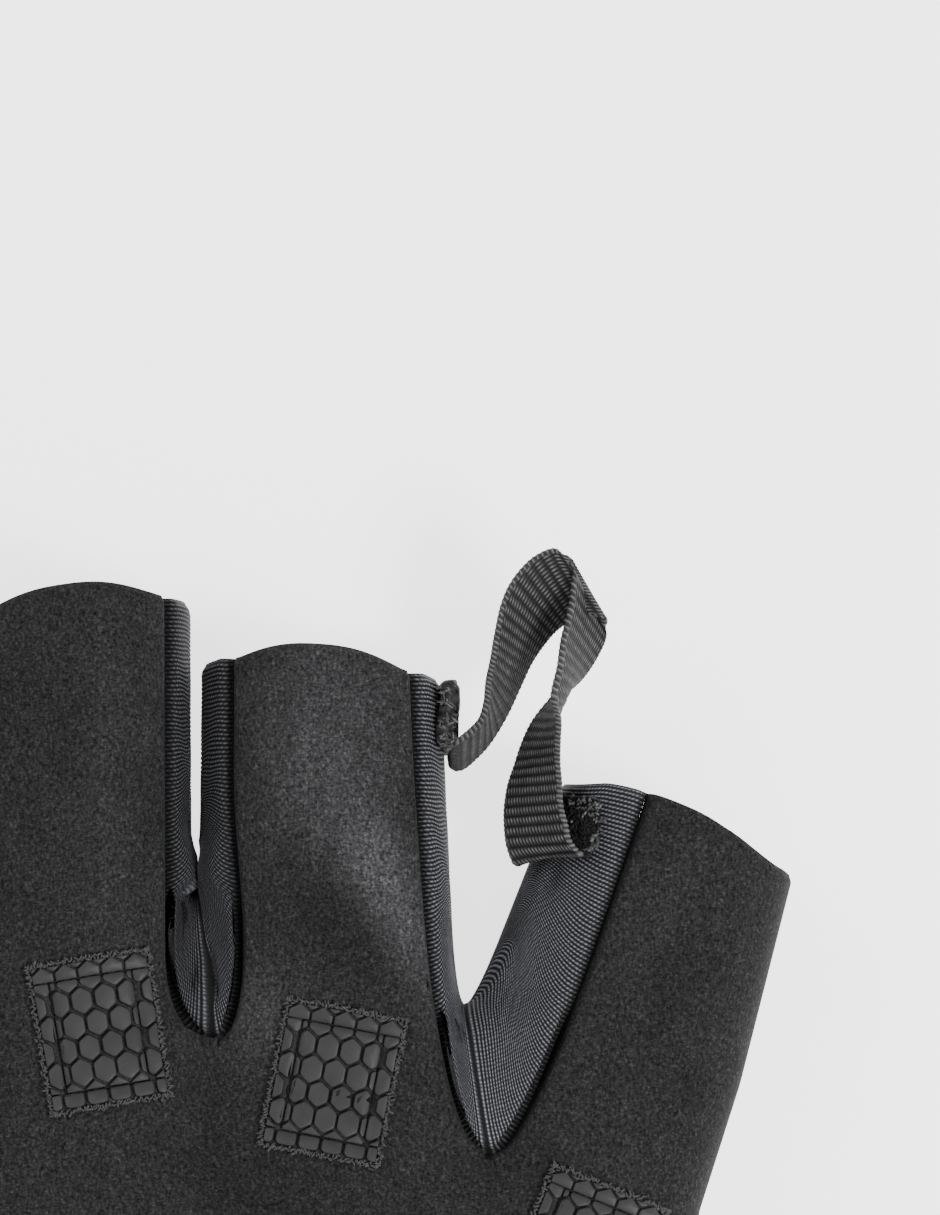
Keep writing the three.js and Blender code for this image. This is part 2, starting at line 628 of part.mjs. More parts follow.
function gripPatch({ across, up, turn }) {
  const [x, y] = [across * fingerPitch, up * stallLength];
  const right = new THREE.Vector2(1, 0).rotateAround(new THREE.Vector2(), degToRad(-turn));
  const place = (u, v, lift) => {
    const px = x + u * right.x - v * right.y;
    const py = y + u * right.y + v * right.x;
    return new THREE.Vector3(px, py, palmHeight(px, py) + layGap + lift);
  };
  const found = new Map();
  const corners = [];
  const vertex = (u, v, lift) => {
    const key = [u, v, lift].map((n) => Math.round(n * 100)).join();
    if (!found.has(key)) found.set(key, corners.push(place(u, v, lift)) - 1);
    return found.get(key);
  };
  const side = hexPitch / Math.sqrt(3);
  const hex = steps(6).slice(1).map((t) => Math.PI * (2 * t + 1 / 6));
  const faces = [];
  const fan = (ring) => {
    for (let k = 1; k + 1 < ring.length; k++) faces.push([ring[0], ring[k], ring[k + 1]]);
  };
  const rows = Math.ceil(patchLength / (1.5 * side));
  const columns = Math.ceil(patchWidth / hexPitch / 2);
  const rim = new Map();
  for (let j = 0; j <= rows; j++)
    for (let i = -columns; i <= columns; i++) {
      const cu = (i + (j % 2) / 2) * hexPitch;
      const cv = -j * 1.5 * side;
      const outline = hex.map((a) => [
        clamp(cu + side * Math.cos(a), -patchWidth / 2, patchWidth / 2),
        clamp(cv + side * Math.sin(a), -patchLength, 0),
      ]);
      const span = (k) => Math.max(...outline.map((p) => p[k])) - Math.min(...outline.map((p) => p[k]));
      if (Math.min(span(0), span(1)) < 0.3 * hexPitch) continue;
      const centre = [0, 1].map((k) => outline.reduce((sum, p) => sum + p[k], 0) / 6);
      const shrink = 1 - hexGroove / hexPitch;
      const same = (p, q) => Math.hypot(p[0] - q[0], p[1] - q[1]) < 0.02;
      const ring = outline.filter((p, k) => !same(p, outline[(k + 5) % 6]));
      const low = ring.map(([u, v]) => vertex(u, v, patchWall));
      const top = ring.map(([u, v]) =>
        vertex(mix(centre[0], u, shrink), mix(centre[1], v, shrink), patchWall + hexRise),
      );
      const foot = ring.map(([u, v]) => vertex(u, v, 0));
      fan(top);
      fan([...foot].reverse());
      ring.forEach((_, k) => {
        const next = (k + 1) % ring.length;
        faces.push([low[k], low[next], top[next]], [low[k], top[next], top[k]]);
        rim.set(low[k] + "," + low[next], [low[k], low[next], foot[k], foot[next]]);
      });
    }
  for (const [edge, [a, b, c, d]] of rim)
    if (!rim.has(edge.split(",").reverse().join())) faces.push([b, a, c], [b, c, d]);
  return new THREE.BufferGeometry().setFromPoints(corners).setIndex(faces.flat());
}

for (const patch of PATCHES) addPiece(patch.name, gripPatch(patch), 0x48494c, 0.6);

// The part's origin is the middle of its underside.
glove.updateMatrixWorld(true);
const box = new THREE.Box3().setFromObject(glove);
const middle = box.getCenter(new THREE.Vector3());
for (const mesh of glove.children) mesh.geometry.translate(-middle.x, -middle.y, -box.min.z);

export default glove;
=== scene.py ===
# %% [markdown]
# # A fingerless training glove, seen from its palm side
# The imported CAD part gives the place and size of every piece. This lesson dresses it: each
# sheet of cloth is laid again as a fine grid, with its seams, ribs, weave and stitches, and
# gets a material of its own. Lengths are worked out in millimetres from the knuckle of the
# ring finger, with +Y to the fingertips and +Z up, and each piece is moved to the part's
# place and to metres as the last step of its making.

import math

import bmesh
import bpy
import numpy as np
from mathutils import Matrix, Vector
from mathutils.bvhtree import BVHTree


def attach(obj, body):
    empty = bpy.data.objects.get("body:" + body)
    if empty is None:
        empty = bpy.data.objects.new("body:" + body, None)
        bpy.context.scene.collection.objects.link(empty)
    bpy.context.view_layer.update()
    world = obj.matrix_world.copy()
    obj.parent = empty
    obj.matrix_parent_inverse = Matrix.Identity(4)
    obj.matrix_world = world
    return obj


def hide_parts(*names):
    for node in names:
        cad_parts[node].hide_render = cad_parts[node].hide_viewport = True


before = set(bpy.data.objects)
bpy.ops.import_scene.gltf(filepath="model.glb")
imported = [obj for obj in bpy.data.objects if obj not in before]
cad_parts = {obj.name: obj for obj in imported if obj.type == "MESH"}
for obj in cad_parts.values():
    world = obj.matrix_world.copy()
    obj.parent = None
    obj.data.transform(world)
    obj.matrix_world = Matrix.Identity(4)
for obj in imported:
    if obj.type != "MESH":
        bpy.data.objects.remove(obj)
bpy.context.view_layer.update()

KNUCKLE = np.array([27.78, 32.242, 0.014])  # ring finger's knuckle, in the part's frame
TO_METRES = 0.001


def to_part(points):
    """Points in millimetres from the knuckle, as metres in the part's frame."""
    return (np.asarray(points) + KNUCKLE) * TO_METRES


# %% [markdown]
# ## Camera
# The glove was photographed from almost straight above, from its wrist side, so close that
# the wrist and the thumb are out of view. A long lens 70 cm away gives the same slight
# perspective. The frame is 940 by 1215 pixels, at 9.5 pixels to the millimetre.

# %% Camera
ELEVATION = math.radians(82.5)
VIEW_CENTRE = (15.16, 45.2, 17)
CAMERA_AWAY = 700
PHOTO_HEIGHT, PIXELS_PER_MM = 1215, 9.5
SENSOR_HEIGHT = 36

camera = bpy.data.objects.new("camera", bpy.data.cameras.new("camera"))
bpy.context.collection.objects.link(camera)
away = np.array([0, -math.cos(ELEVATION), math.sin(ELEVATION)]) * CAMERA_AWAY
camera.location = to_part(np.array(VIEW_CENTRE) + away)
camera.rotation_euler = (math.pi / 2 - ELEVATION, 0, 0)
camera.data.sensor_fit = "VERTICAL"
camera.data.sensor_height = SENSOR_HEIGHT
camera.data.lens = SENSOR_HEIGHT * CAMERA_AWAY / (PHOTO_HEIGHT / PIXELS_PER_MM)
camera.data.clip_start = 0.01
bpy.context.scene.camera = camera
print("lens, mm:", round(camera.data.lens, 1))

# %% [markdown]
# ## Light
# A photograph on white paper has no hard shadow. A pale dome of sky fills everything, and
# two large soft lamps give the cloth its shape: a stronger one from the wrist's right, and
# a weaker one from the left. The paper lies on a light table, so it glows a little itself
# and stays nearly white under a dark glove.


# %% Light and floor
def soft_lamp(name, place, size, power):
    lamp = bpy.data.objects.new(name, bpy.data.lights.new(name, "AREA"))
    lamp.data.shape = "DISK"
    lamp.data.size = size
    lamp.data.energy = power
    lamp.location = place
    lamp.rotation_euler = (-Vector(place)).to_track_quat("-Z", "Y").to_euler()
    bpy.context.collection.objects.link(lamp)


soft_lamp("key_lamp", (0.6, -0.3, 0.75), 0.35, 11)
soft_lamp("fill_lamp", (-0.6, 0.5, 0.7), 0.5, 4)

sky = bpy.data.worlds.new("studio")
sky.use_nodes = True
sky.node_tree.nodes["Background"].inputs["Color"].default_value = (1, 1, 1, 1)
sky.node_tree.nodes["Background"].inputs["Strength"].default_value = 0.8
bpy.context.scene.world = sky

bm = bmesh.new()
bmesh.ops.create_grid(bm, x_segments=2, y_segments=2, size=2)
floor = bpy.data.objects.new("floor", bpy.data.meshes.new("floor"))
bm.to_mesh(floor.data)
bm.free()
bpy.context.collection.objects.link(floor)

# %% [markdown]
# ## Materials
# A material here is a small net of nodes. Writing it in code is easier with a few helpers:
# one adds a node and wires its sockets, one does sums, one spreads a value over grey
# levels, and the rest are built on these.


# %% Node helpers
class Finish:
    """A material and its nodes. A number or colour that is the same all over goes straight
    to the shader's socket."""

    def __init__(self, name, roughness, **sockets):
        self.material = bpy.data.materials.new(name)
        self.material.use_nodes = True
        self.tree = self.material.node_tree
        self.shader = self.tree.nodes["Principled BSDF"]
        self.shader.inputs["Roughness"].default_value = roughness
        for socket, value in sockets.items():
            self.shader.inputs[socket.replace("_", " ")].default_value = value

    def add(self, kind, inputs, output=0, **settings):
        node = self.tree.nodes.new("ShaderNode" + kind)
        for key, value in settings.items():
            setattr(node, key, value)
        for key, value in inputs.items():
            if isinstance(value, bpy.types.NodeSocket):
                self.tree.links.new(value, node.inputs[key])
            else:
                node.inputs[key].default_value = value
        return node.outputs[output]

    def sum(self, operation, *values):
        return self.add("Math", dict(enumerate(values)), operation=operation)

    def spread(self, value, *stops):
        node = self.tree.nodes.new("ShaderNodeValToRGB")
        points = node.color_ramp.elements
        while len(points) < len(stops):
            points.new(0.5)
        for point, (at, level) in zip(points, stops):
            point.position = at
            point.color = (level, level, level, 1)
        self.tree.links.new(value, node.inputs[0])
        return node.outputs[0]

    def times(self, colour, other):
        """One colour or grey level times another."""
        inputs = {0: 1.0, 6: colour, 7: other}
        return self.add("Mix", inputs, 2, data_type="RGBA", blend_type="MULTIPLY")

    def tint(self, level, colour):
        return self.times(level, (*colour, 1))

    def place(self, scale=(1, 1, 1), turn=0.0, source="Object"):
        """Coordinates in millimetres, stretched and turned about Z."""
        found = self.tree.nodes.new("ShaderNodeTexCoord").outputs[source]
        size = [s * (1000 if source == "Object" else 1) for s in scale]
        return self.add("Mapping", {"Vector": found, "Rotation": (0, 0, turn), "Scale": size})

    def noise(self, where, scale, detail=2.0, rough=0.5, distort=0.0):
        inputs = {"Vector": where, "Scale": scale, "Detail": detail, "Roughness": rough}
        return self.add("TexNoise", {**inputs, "Distortion": distort})

    def wear_and_painted_light(self, colour, share=0.9):
        """The colour with painted light and shade: darker where the piece's own attributes say that
        a seam or a crease is near, which is painted shade in its groove, and lighter or darker
        where they say that the nap was stroked or that more or less light falls there, which is
        painted light and shade."""
        seam = self.add("Attribute", {}, 2, attribute_name="seam")
        stroke = self.add("Attribute", {}, 2, attribute_name="stroke")
        keep = self.sum("MULTIPLY_ADD", seam, -share, 1.0)
        return self.times(colour, self.sum("MULTIPLY", keep, self.sum("ADD", stroke, 1.0)))

    def finish(self, colour, height=None, depth=0.1, strength=1.0, roughness=None):
        """Wires colour, a bump of that depth in millimetres, and roughness to the shader."""
        self.tree.links.new(colour, self.shader.inputs["Base Color"])
        if roughness is not None:
            self.tree.links.new(roughness, self.shader.inputs["Roughness"])
        if height is not None:
            inputs = {"Height": height, "Strength": strength, "Distance": depth * TO_METRES}
            self.tree.links.new(self.add("Bump", inputs), self.shader.inputs["Normal"])
        return self.material


# %% [markdown]
# ### Brushed microsuede
# The palm is a synthetic suede: a dense nap of very short fibres that lean in patches, so
# the charcoal cloth looks grainy, like salt and pepper, with cloudy lighter and darker
# areas where a hand has stroked it. Two noises of about a third of a millimetre, stretched
# along two directions, give fibres that lean both ways. A broad noise gives the clouds.

# %% Suede
suede = Finish("microsuede", 0.95, Specular_IOR_Level=0.06, Sheen_Weight=0.04, Sheen_Roughness=0.5)
leaning = suede.noise(suede.place((1, 0.55, 1), 0.7), 3.6, 2, 0.55, 0.4)
crossing = suede.noise(suede.place((0.6, 1, 1), -0.5), 4.4, 2, 0.55, 0.4)
nap = suede.sum("MULTIPLY", suede.sum("ADD", leaning, crossing), 0.5)
clouds = suede.noise(suede.place(), 0.09, 3, 0.55)
streaks = suede.noise(suede.place((1, 0.3, 1), 0.7), 0.6, 3, 0.6)
grain = suede.spread(nap, (0.34, 0.006), (0.46, 0.016), (0.56, 0.027), (0.68, 0.052))
shade = suede.spread(clouds, (0.3, 0.78), (0.5, 1.0), (0.7, 1.0))
shade = suede.sum("MULTIPLY", shade, suede.spread(streaks, (0.3, 0.82), (0.7, 1.0)))
nap_colour = suede.tint(suede.times(grain, shade), (1, 1, 1.04))
suede_cloth = suede.finish(suede.wear_and_painted_light(nap_colour), nap, 0.12, 0.7)
print("suede nodes:", len(suede.tree.nodes))

# %% [markdown]
# ### Fine rib knit
# The side strips between the fingers are a ribbed nylon knit with a slight blue cast. The
# ribs themselves are real folds of the mesh. What is finer, the loops of yarn along each
# rib, is drawn here from the piece's own UV map, which is in millimetres: U across the
# strip and V along it, with one rib every RIB_PITCH.

# %% Rib knit
RIB_PITCH = 0.47
YARN_STEP = 0.42  # from loop to loop along a rib

rib = Finish("rib_knit", 0.7, Specular_IOR_Level=0.12, Sheen_Weight=0.05, Sheen_Roughness=0.4)
cloth_map = rib.add("SeparateXYZ", {0: rib.place(source="UV")}).node.outputs
wander = rib.noise(rib.place(), 1.6, 2)
across = rib.sum("MULTIPLY_ADD", wander, 0.5, cloth_map["X"])
turns = rib.sum("MULTIPLY", cloth_map["Y"], 2 * math.pi / RIB_PITCH)
crest = rib.sum("MULTIPLY_ADD", rib.sum("COSINE", turns), 0.5, 0.5)
slant = rib.sum("MULTIPLY_ADD", cloth_map["Y"], 0.6, across)
loops = rib.sum("SINE", rib.sum("MULTIPLY", slant, 2 * math.pi / YARN_STEP))
loops = rib.sum("MULTIPLY_ADD", loops, 0.5, 0.5)
# The colour is far darker in the grooves between the ribs and lighter on their crests: painted
# shade and painted highlight, on top of the loops of yarn and the fuzz.
valley = rib.sum("SUBTRACT", 1.0, crest)
yarn = rib.sum("MULTIPLY", valley, rib.sum("MULTIPLY_ADD", loops, 0.5, 0.5))
fuzz = rib.noise(rib.place(), 4.5, 3, 0.7)
yarn = rib.sum("MULTIPLY_ADD", fuzz, 0.5, rib.sum("MULTIPLY", yarn, 0.75))
level = rib.spread(yarn, (0.3, 0.003), (0.55, 0.017), (0.75, 0.045), (1.0, 0.1))
rib_knit = rib.finish(rib.wear_and_painted_light(rib.tint(level, (0.98, 0.99, 1.1))), yarn, 0.12, 0.6)

# %% [markdown]
# ### The other cloths and the grip
# The back is a plain jersey, whose V-shaped loops come from a wave in its UV map that
# slants one way and then the other. The cuff is the same yarn, thicker. The strap is a
# brushed loop fabric, the webbing a hard nylon weave with small beads at its edges, and the
# grip a smooth rubber print. Stitches are polyester thread in three shades.


# %% Jersey, strap, webbing, rubber, thread
def jersey(name, wale, course, dark, bright, tone):
    cloth = Finish(name, 0.85, Specular_IOR_Level=0.12, Sheen_Weight=0.06, Sheen_Roughness=0.5)
    run = cloth.add("SeparateXYZ", {0: cloth.place(source="UV")}).node.outputs
    side = cloth.sum("PINGPONG", run["X"], wale / 2)
    lean = cloth.sum("MULTIPLY_ADD", side, course / wale * 1.6, run["Y"])
    stitch = cloth.sum("SINE", cloth.sum("MULTIPLY", lean, 2 * math.pi / course))
    ridge = cloth.sum("SINE", cloth.sum("MULTIPLY", side, 2 * math.pi / wale))
    loop = cloth.sum("MULTIPLY_ADD", cloth.sum("ADD", stitch, ridge), 0.25, 0.5)
    yarn = cloth.sum("MULTIPLY_ADD", cloth.noise(cloth.place(), 3.5, 3, 0.7), 0.4, loop)
    level = cloth.spread(yarn, (0.25, dark), (0.75, (dark + bright) / 2), (1.1, bright))
    return cloth.finish(cloth.wear_and_painted_light(cloth.tint(level, tone)), yarn, 0.2, 0.8)


back_knit = jersey("back_jersey", 0.9, 0.7, 0.008, 0.06, (0.98, 0.99, 1.06))
cuff_knit = jersey("cuff_knit", 1.2, 0.9, 0.008, 0.055, (0.98, 0.99, 1.06))
strap_nap = jersey("brushed_loop_cloth", 0.5, 1.4, 0.012, 0.05, (1, 1, 1.03))

WEAVE_ROW, FLOAT_WIDTH = 1.09, 0.42  # a row of floats along the webbing, and one float's width

webbing = Finish("nylon_webbing", 0.6, Specular_IOR_Level=0.2)
strands = webbing.place((1, 0.3, 1), source="UV")
fibre = webbing.noise(strands, 6, 3, 0.6, 0.3)
wear_and_painted_light = webbing.noise(webbing.place(), 0.9, 3, 0.6)
lift = webbing.add("Attribute", {}, 2, attribute_name="lift")
height = webbing.sum("MULTIPLY_ADD", fibre, 0.3, webbing.sum("MULTIPLY", lift, 0.7))
height = webbing.sum("MULTIPLY_ADD", wear_and_painted_light, 0.2, height)
# The colour follows the height of the floats: far darker between them and lighter on their tops,
# which is painted shade and painted highlight, with the fibres and broad wear as the band's own
# tone.
level = webbing.spread(height, (0.25, 0.002), (0.5, 0.01), (0.72, 0.038), (0.93, 0.16))
weave_colour = webbing.wear_and_painted_light(webbing.tint(level, (1, 1, 1)), 0.85)
webbing_weave = webbing.finish(weave_colour, height, 0.08, 0.5)

rubber = Finish("grip_rubber", 0.55, Specular_IOR_Level=0.25)
speck = rubber.noise(rubber.place(), 6, 3, 0.6)
smear = rubber.noise(rubber.place(), 0.35, 3, 0.5)
dust = rubber.sum("MULTIPLY_ADD", speck, 0.25, rubber.sum("MULTIPLY", smear, 0.75))
level = rubber.spread(dust, (0.3, 0.022), (0.7, 0.034))
sheen = rubber.sum("MULTIPLY_ADD", speck, 0.25, 0.4)
grip_rubber = rubber.finish(rubber.tint(level, (1, 1, 1.03)), speck, 0.05, 0.4, sheen)


def thread(name, dark, bright):
    yarn = Finish(name, 0.8, Specular_IOR_Level=0.15)
    twist = yarn.noise(yarn.place((1, 1, 1), 0.6), 5, 3, 0.7, 1.0)
    level = yarn.spread(twist, (0.35, dark), (0.7, bright))
    return yarn.finish(yarn.tint(level, (1, 1, 1.02)), twist, 0.08, 0.8)


pale_thread = thread("pale_thread", 0.025, 0.2)
edge_thread = thread("frayed_thread", 0.016, 0.1)
dark_thread = thread("dark_thread", 0.002, 0.02)
paper = Finish("paper_sweep", 0.9, Emission_Color=(1, 1, 1, 1), Emission_Strength=2.2)
tooth = paper.noise(paper.place(), 0.4, 2)
paper.finish(paper.spread(tooth, (0.3, 0.9), (0.7, 0.92)), tooth, 0.02, 0.1)
floor.data.materials.append(paper.material)
print("materials:", len(bpy.data.materials))

# %% [markdown]
# ## The shape of the hand
# The CAD part is drawn by a handful of formulas: a finger stall is a rounded tube on a
# straight axis, drawn in to a web on each side, and the palm is a row of rounded sections
# from the knuckles to the wrist. The same formulas are written here for whole arrays of
# points at once, so the fine grids lie on the CAD solids. Only some rims, the bottoms of
# the slots and the loop's twist follow the photograph more closely than the CAD does.

# %% Sizes shared with the CAD part
PITCH = 26.8
STALL_WIDTH = 25.2
STALL_DEPTH = 18
STALL_LENGTH = 41.3
PALM_LENGTH = 88
PALM_DEPTH = 25
WRIST_WIDTH = 76
WRIST_DEPTH = 21
CUFF_LENGTH = 28
RIM_ARCH = 2.9
RIM_CROWN = 5
WRIST_CENTRE = -0.6 * PITCH
CROWN_POWER = 2.5
SOLE_POWER = 3.4
FLOOR_PRESS = 0.5
SIDE_SEAM = 20
LEFT_SEAM = 180 + SIDE_SEAM

# Fingers: across, yaw, reach, root, tip, deep, slope, start, palm seams right and left,
# back seams right and left, and how far the palm seams part to the tip, right and left.
FINGERS = {
    "index": (-2.0, -5, 1.0, 1.05, 1.0, 1.0, -0.02, -0.1, 38, 200, -25, 200, 2, 0),
    "middle": (-1.02, -0.5, 1.08, 1.03, 1.03, 1.04, -0.045, 0, 33, 137, -25, 205, 0, 3),
    "ring": (0.005, -1.2, 0.93, 1.08, 1.0, 1.0, 0.026, 0, 44.5, 128, -25, 205, 4, 8),
    "little": (1.11, 18, 0.552, 1.16, 1.05, 0.97, 0.02, -0.33, -20, 104, -20, 205, 0, 0),
}
# Webs: palm, crotch, back, skew, bow, meet, close_left, close_right, close_deep. The first
# three are where a slot ends on the palm, at its bottom and on the back, in stall lengths.
WEBS = {
    ("index", "middle"): (-0.02, 0.36, 0.35, 0, 0, 0.5, 0.21, 0.21, 0.15),
    ("middle", "ring"): (0, 0.385, 0.36, 0.07, 0.35, 0.85, 0.21, 0.21, 0.15),
    ("ring", "little"): (-0.29, 0.095, 0.06, 0.097, 0, 0.25, 1.09, 0.6, 0.2),
}
# How much further a rim reaches than its arch, in mm: degrees round it, and the reach.
RIM_TRIM = {
    "ring": ((-25, 0, 30, 50, 128, 145, 180, 205), (0, 0.7, 0.7, 0, 0, 0.7, 0.7, 0)),
    "little": ((-20, 0, 25, 55, 75, 104, 125, 180, 205), (0, 0.7, 0.6, 0, -0.3, 0, 0.8, 0.8, 0)),
}
# The hand from the fingers to the wrist: down, left, right, high.
PALM = np.array([
    (-0.1, -0.03, -0.08, 0.74),
    (0, 0, 0, 0.77),
    (0.15, 0.02, 0.09, 0.85),
    (0.4, 0.12, 0.29, 0.97),
    (0.65, 0.38, 0.53, 1),
    (0.85, 0.8, 0.83, 0.93),
    (1, 1, 1, WRIST_DEPTH / PALM_DEPTH),
    (1.35, 1.06, 1.04, WRIST_DEPTH * 0.98 / PALM_DEPTH),
])
# Broad hollows and swells: x, down, rise, size.
SWELLS = [
    (0.1, -0.16, -0.05, 0.32), (-0.75, 0.42, -0.13, 1.1),
    (-1.75, 0.72, 0.1, 0.8), (0.75, 0.55, 0.07, 0.8),
]


# %% Small sums for arrays
def mix(a, b, t):
    return a + (b - a) * t


def smoothstep(x, low, high):
    t = np.clip((x - low) / (high - low), 0, 1)
    return t * t * (3 - 2 * t)


def vectors(x, y, z):
    return np.stack(np.broadcast_arrays(x, y, z), -1).astype(float)


def run_along(point, axis=0):
    """Millimetres from the first corner, along one axis of a grid of points."""
    steps = np.linalg.norm(np.diff(point, axis=axis), axis=-1)
    return np.insert(np.cumsum(steps, axis=axis), 0, 0, axis=axis)


def ways(degrees):
    """The directions ahead and right of what is turned to the right by degrees."""
    c, s = math.cos(math.radians(degrees)), math.sin(math.radians(degrees))
    return np.array([s, c, 0]), np.array([c, -s, 0])


def along(table, column, at):
    """A column of a table between its rows, on a smooth curve. Column 0 is the place."""
    keys, values = table[:, 0], table[:, column]
    i = np.clip(np.searchsorted(keys, at) - 1, 0, len(keys) - 2)
    before, after = np.maximum(i - 1, 0), np.minimum(i + 2, len(keys) - 1)
    span = keys[i + 1] - keys[i]
    t = np.clip((at - keys[i]) / span, 0, 1)
    m0 = (values[i + 1] - values[before]) / (keys[i + 1] - keys[before]) * span
    m1 = (values[after] - values[i]) / (keys[after] - keys[i]) * span
    t2, t3 = t * t, t * t * t
    return (
        (2 * t3 - 3 * t2 + 1) * values[i]
        + (t3 - 2 * t2 + t) * m0
        + (3 * t2 - 2 * t3) * values[i + 1]
        + (t3 - t2) * m1
    )


def rounded(angle):
    """A point of the rounded section, at degrees round from its right side."""
    c, s = np.cos(np.radians(angle)), np.sin(np.radians(angle))
    power = np.where(s > 0, 2 / CROWN_POWER, 2 / SOLE_POWER)
    return np.sign(c) * np.abs(c) ** power, np.sign(s) * np.abs(s) ** power


def standing(high, up):
    """Height of a section that is pressed flat where it stands on the floor."""
    return np.maximum(0, (high + FLOOR_PRESS) / 2 * (1 + up) - FLOOR_PRESS)


# %% [markdown]
# A finger and a web are kept as plain records. A stall's point is given by degrees round
# the tube and by its distance from the knuckle line. Near a web the tube is drawn in, so
# that two neighbours meet in a round-bottomed slot.


# %% Fingers and webs
class Record:
    def __init__(self, **facts):
        self.__dict__.update(facts)


def make_finger(name, row):
    names = "across yaw reach root tip deep slope start palm_right palm_left back_right back_left"
    finger = Record(**dict(zip((names + " flare_right flare_left").split(), row)))
    finger.length = finger.reach * STALL_LENGTH
    finger.knuckle = np.array([finger.across * PITCH, 0, 0])
    finger.ahead, finger.right = ways(finger.yaw)
    finger.right_side = finger.left_side = None
    finger.trim = RIM_TRIM.get(name, ((0, 1), (0, 0)))
    return finger


def tube(finger, angle, s):
    half = STALL_WIDTH / 2 * mix(finger.root, finger.tip, np.clip(s / finger.length, 0, 1))
    across, up = rounded(angle)
    point = finger.knuckle + np.multiply.outer(s, finger.ahead)
    point = point + np.multiply.outer(half * across, finger.right)
    point[..., 2] = standing(finger.deep * STALL_DEPTH, up)
    return point


def make_web(a, b, row):
    names = "palm crotch back skew bow meet close_left close_right close_deep"
    web = Record(**dict(zip(names.split(), row)))

    def spot(finger, angle, y):
        return tube(finger, np.array(float(angle)), np.array(y / finger.ahead[1]))

    crotch = web.crotch * STALL_LENGTH
    web.x = mix(spot(a, 0, crotch)[0], spot(b, 180, crotch)[0], web.meet)
    web.top = (spot(a, a.palm_right, 0.0)[2] + spot(b, b.palm_left, 0.0)[2]) / 2
    web.foot = (spot(a, a.back_right, 0.0)[2] + spot(b, b.back_left, 0.0)[2]) / 2
    a.right_side = Record(web=web, palm=a.palm_right, back=a.back_right, flare=-a.flare_right,
                          close=web.close_left, middle=(91, -90), right=True)
    b.left_side = Record(web=web, palm=b.palm_left, back=b.back_left, flare=b.flare_left,
                         close=web.close_right, middle=(91, 270), right=False)
    return web


fingers = {name: make_finger(name, row) for name, row in FINGERS.items()}
webs = {pair: make_web(fingers[pair[0]], fingers[pair[1]], row) for pair, row in WEBS.items()}


def web_middle(web, inner):
    """Where the line between two strips is, across. inner goes from 0 at the palm to 1 at
    the bottom of the slot. The cloth is pushed to the right between them."""
    return web.x + web.skew * PITCH * (1 - inner) + web.bow * 4 * inner * (1 - inner)


def web_point(web, v):
    """The line where two strips meet."""
    inner, outer = smoothstep(v, 0, 0.45), smoothstep(v, 0.55, 1)
    y = mix(mix(web.palm, web.crotch, inner), web.back, outer) * STALL_LENGTH
    return vectors(web_middle(web, inner), y, mix(web.top, web.foot, v))


def up_slot(web, y):
    """How far up a slot y is: 0 at its seam in the palm, 1 at its bottom."""
    return (y / STALL_LENGTH - web.palm) / (web.crotch - web.palm)


def web_start(finger, side, v):
    return (web_point(side.web, v) - finger.knuckle) @ finger.ahead


def closeness(distance, reach):
    t = np.clip(1 - distance / reach, 0, 1)
    return 1 - np.sqrt(1 - t * t)


def swell(point):
    rise = 0
    for x, down, high, size in SWELLS:
        dx = (point[..., 0] / PITCH - x) / size
        dy = (-point[..., 1] - down * PALM_LENGTH) / (PITCH * size)
        rise = rise + high * STALL_DEPTH * np.exp(-dx * dx - dy * dy)
    point[..., 2] += rise * smoothstep(point[..., 2] / STALL_DEPTH, 0.45, 0.85)
    return point


def skin(finger, angle, s):
    """The outer face of a stall."""
    point = tube(finger, angle, s)
    for side in (finger.right_side, finger.left_side):
        if side is None:
            continue
        a = np.where(angle > 200, angle - 360, angle) if side.right else angle
        share = (side.palm - a) / (side.palm - side.back)
        v = np.clip(share, 0, 1)
        middle = np.where(share < 0, *side.middle)
        seam = np.where(share < 0, side.palm, side.back)
        hold = np.where(share == v, 1, np.clip((a - middle) / (seam - middle), 0, 1))
        start = web_start(finger, side, v)
        reach = STALL_LENGTH * mix(side.close, side.web.close_deep, smoothstep(v, 0, 0.5))
        near = closeness(s - start, reach) * hold
        pull = web_point(side.web, v) - tube(finger, mix(side.palm, side.back, v), start)
        point = point + near[..., None] * pull
    return swell(point)


def seam_angles(finger, palm_side):
    """Degrees of a lobe's right and left seam."""
    if palm_side:
        return float(finger.palm_right), float(finger.palm_left)
    return finger.back_right + 360.0, float(finger.back_left)


def stall_start(finger, angle, palm_side):
    """Where a stall meets the hand on its palm side or its back."""
    right, left, v = finger.right_side, finger.left_side, np.array(0.0 if palm_side else 1.0)
    outer = finger.start * STALL_LENGTH
    first = web_start(finger, right, v) if right else outer
    last = web_start(finger, left, v) if left else outer
    one, other = seam_angles(finger, palm_side)
    return mix(first, last, np.clip((angle - one) / (other - one), 0, 1))


def stall_end(finger, angle):
    across, up = rounded(angle)
    arch = RIM_ARCH * np.where(up > 0, np.maximum(up, 0) ** RIM_CROWN, 0.5 * up * up)
    slope = finger.slope * STALL_LENGTH * across
    return finger.length + arch - slope + np.interp(angle, *finger.trim)


def flared(side, t):
    """Degrees from a palm seam's angle at the root to its angle at share t of the stall."""
    return side.flare * smoothstep(t, 0.25, 0.7) if side else 0.0


# %% [markdown]
# Below the fingers the hand is one body. Each finger's columns of corners run on down to
# the wrist, and beside the thumb the edges of palm and back part to leave its opening.

# %% The hand below the fingers, and the thumb
OPENING_DOWN, OPENING_LENGTH = 0.32, 50
OPENING_LIFT, OPENING_DROP, OPENING_REACH = 60, 22, 90
THUMB_WIDTH, THUMB_DEPTH, THUMB_REACH, THUMB_TURN, THUMB_WEB = 27, 19, 47, 42, 1
KNUCKLE_LEFT = tube(fingers["index"], np.array(180.0), np.array(0.0))[0]
KNUCKLE_RIGHT = tube(fingers["little"], np.array(0.0), np.array(0.0))[0]
OPENING_TOP = -OPENING_DOWN * PALM_LENGTH
OPENING_FOOT = OPENING_TOP - OPENING_LENGTH


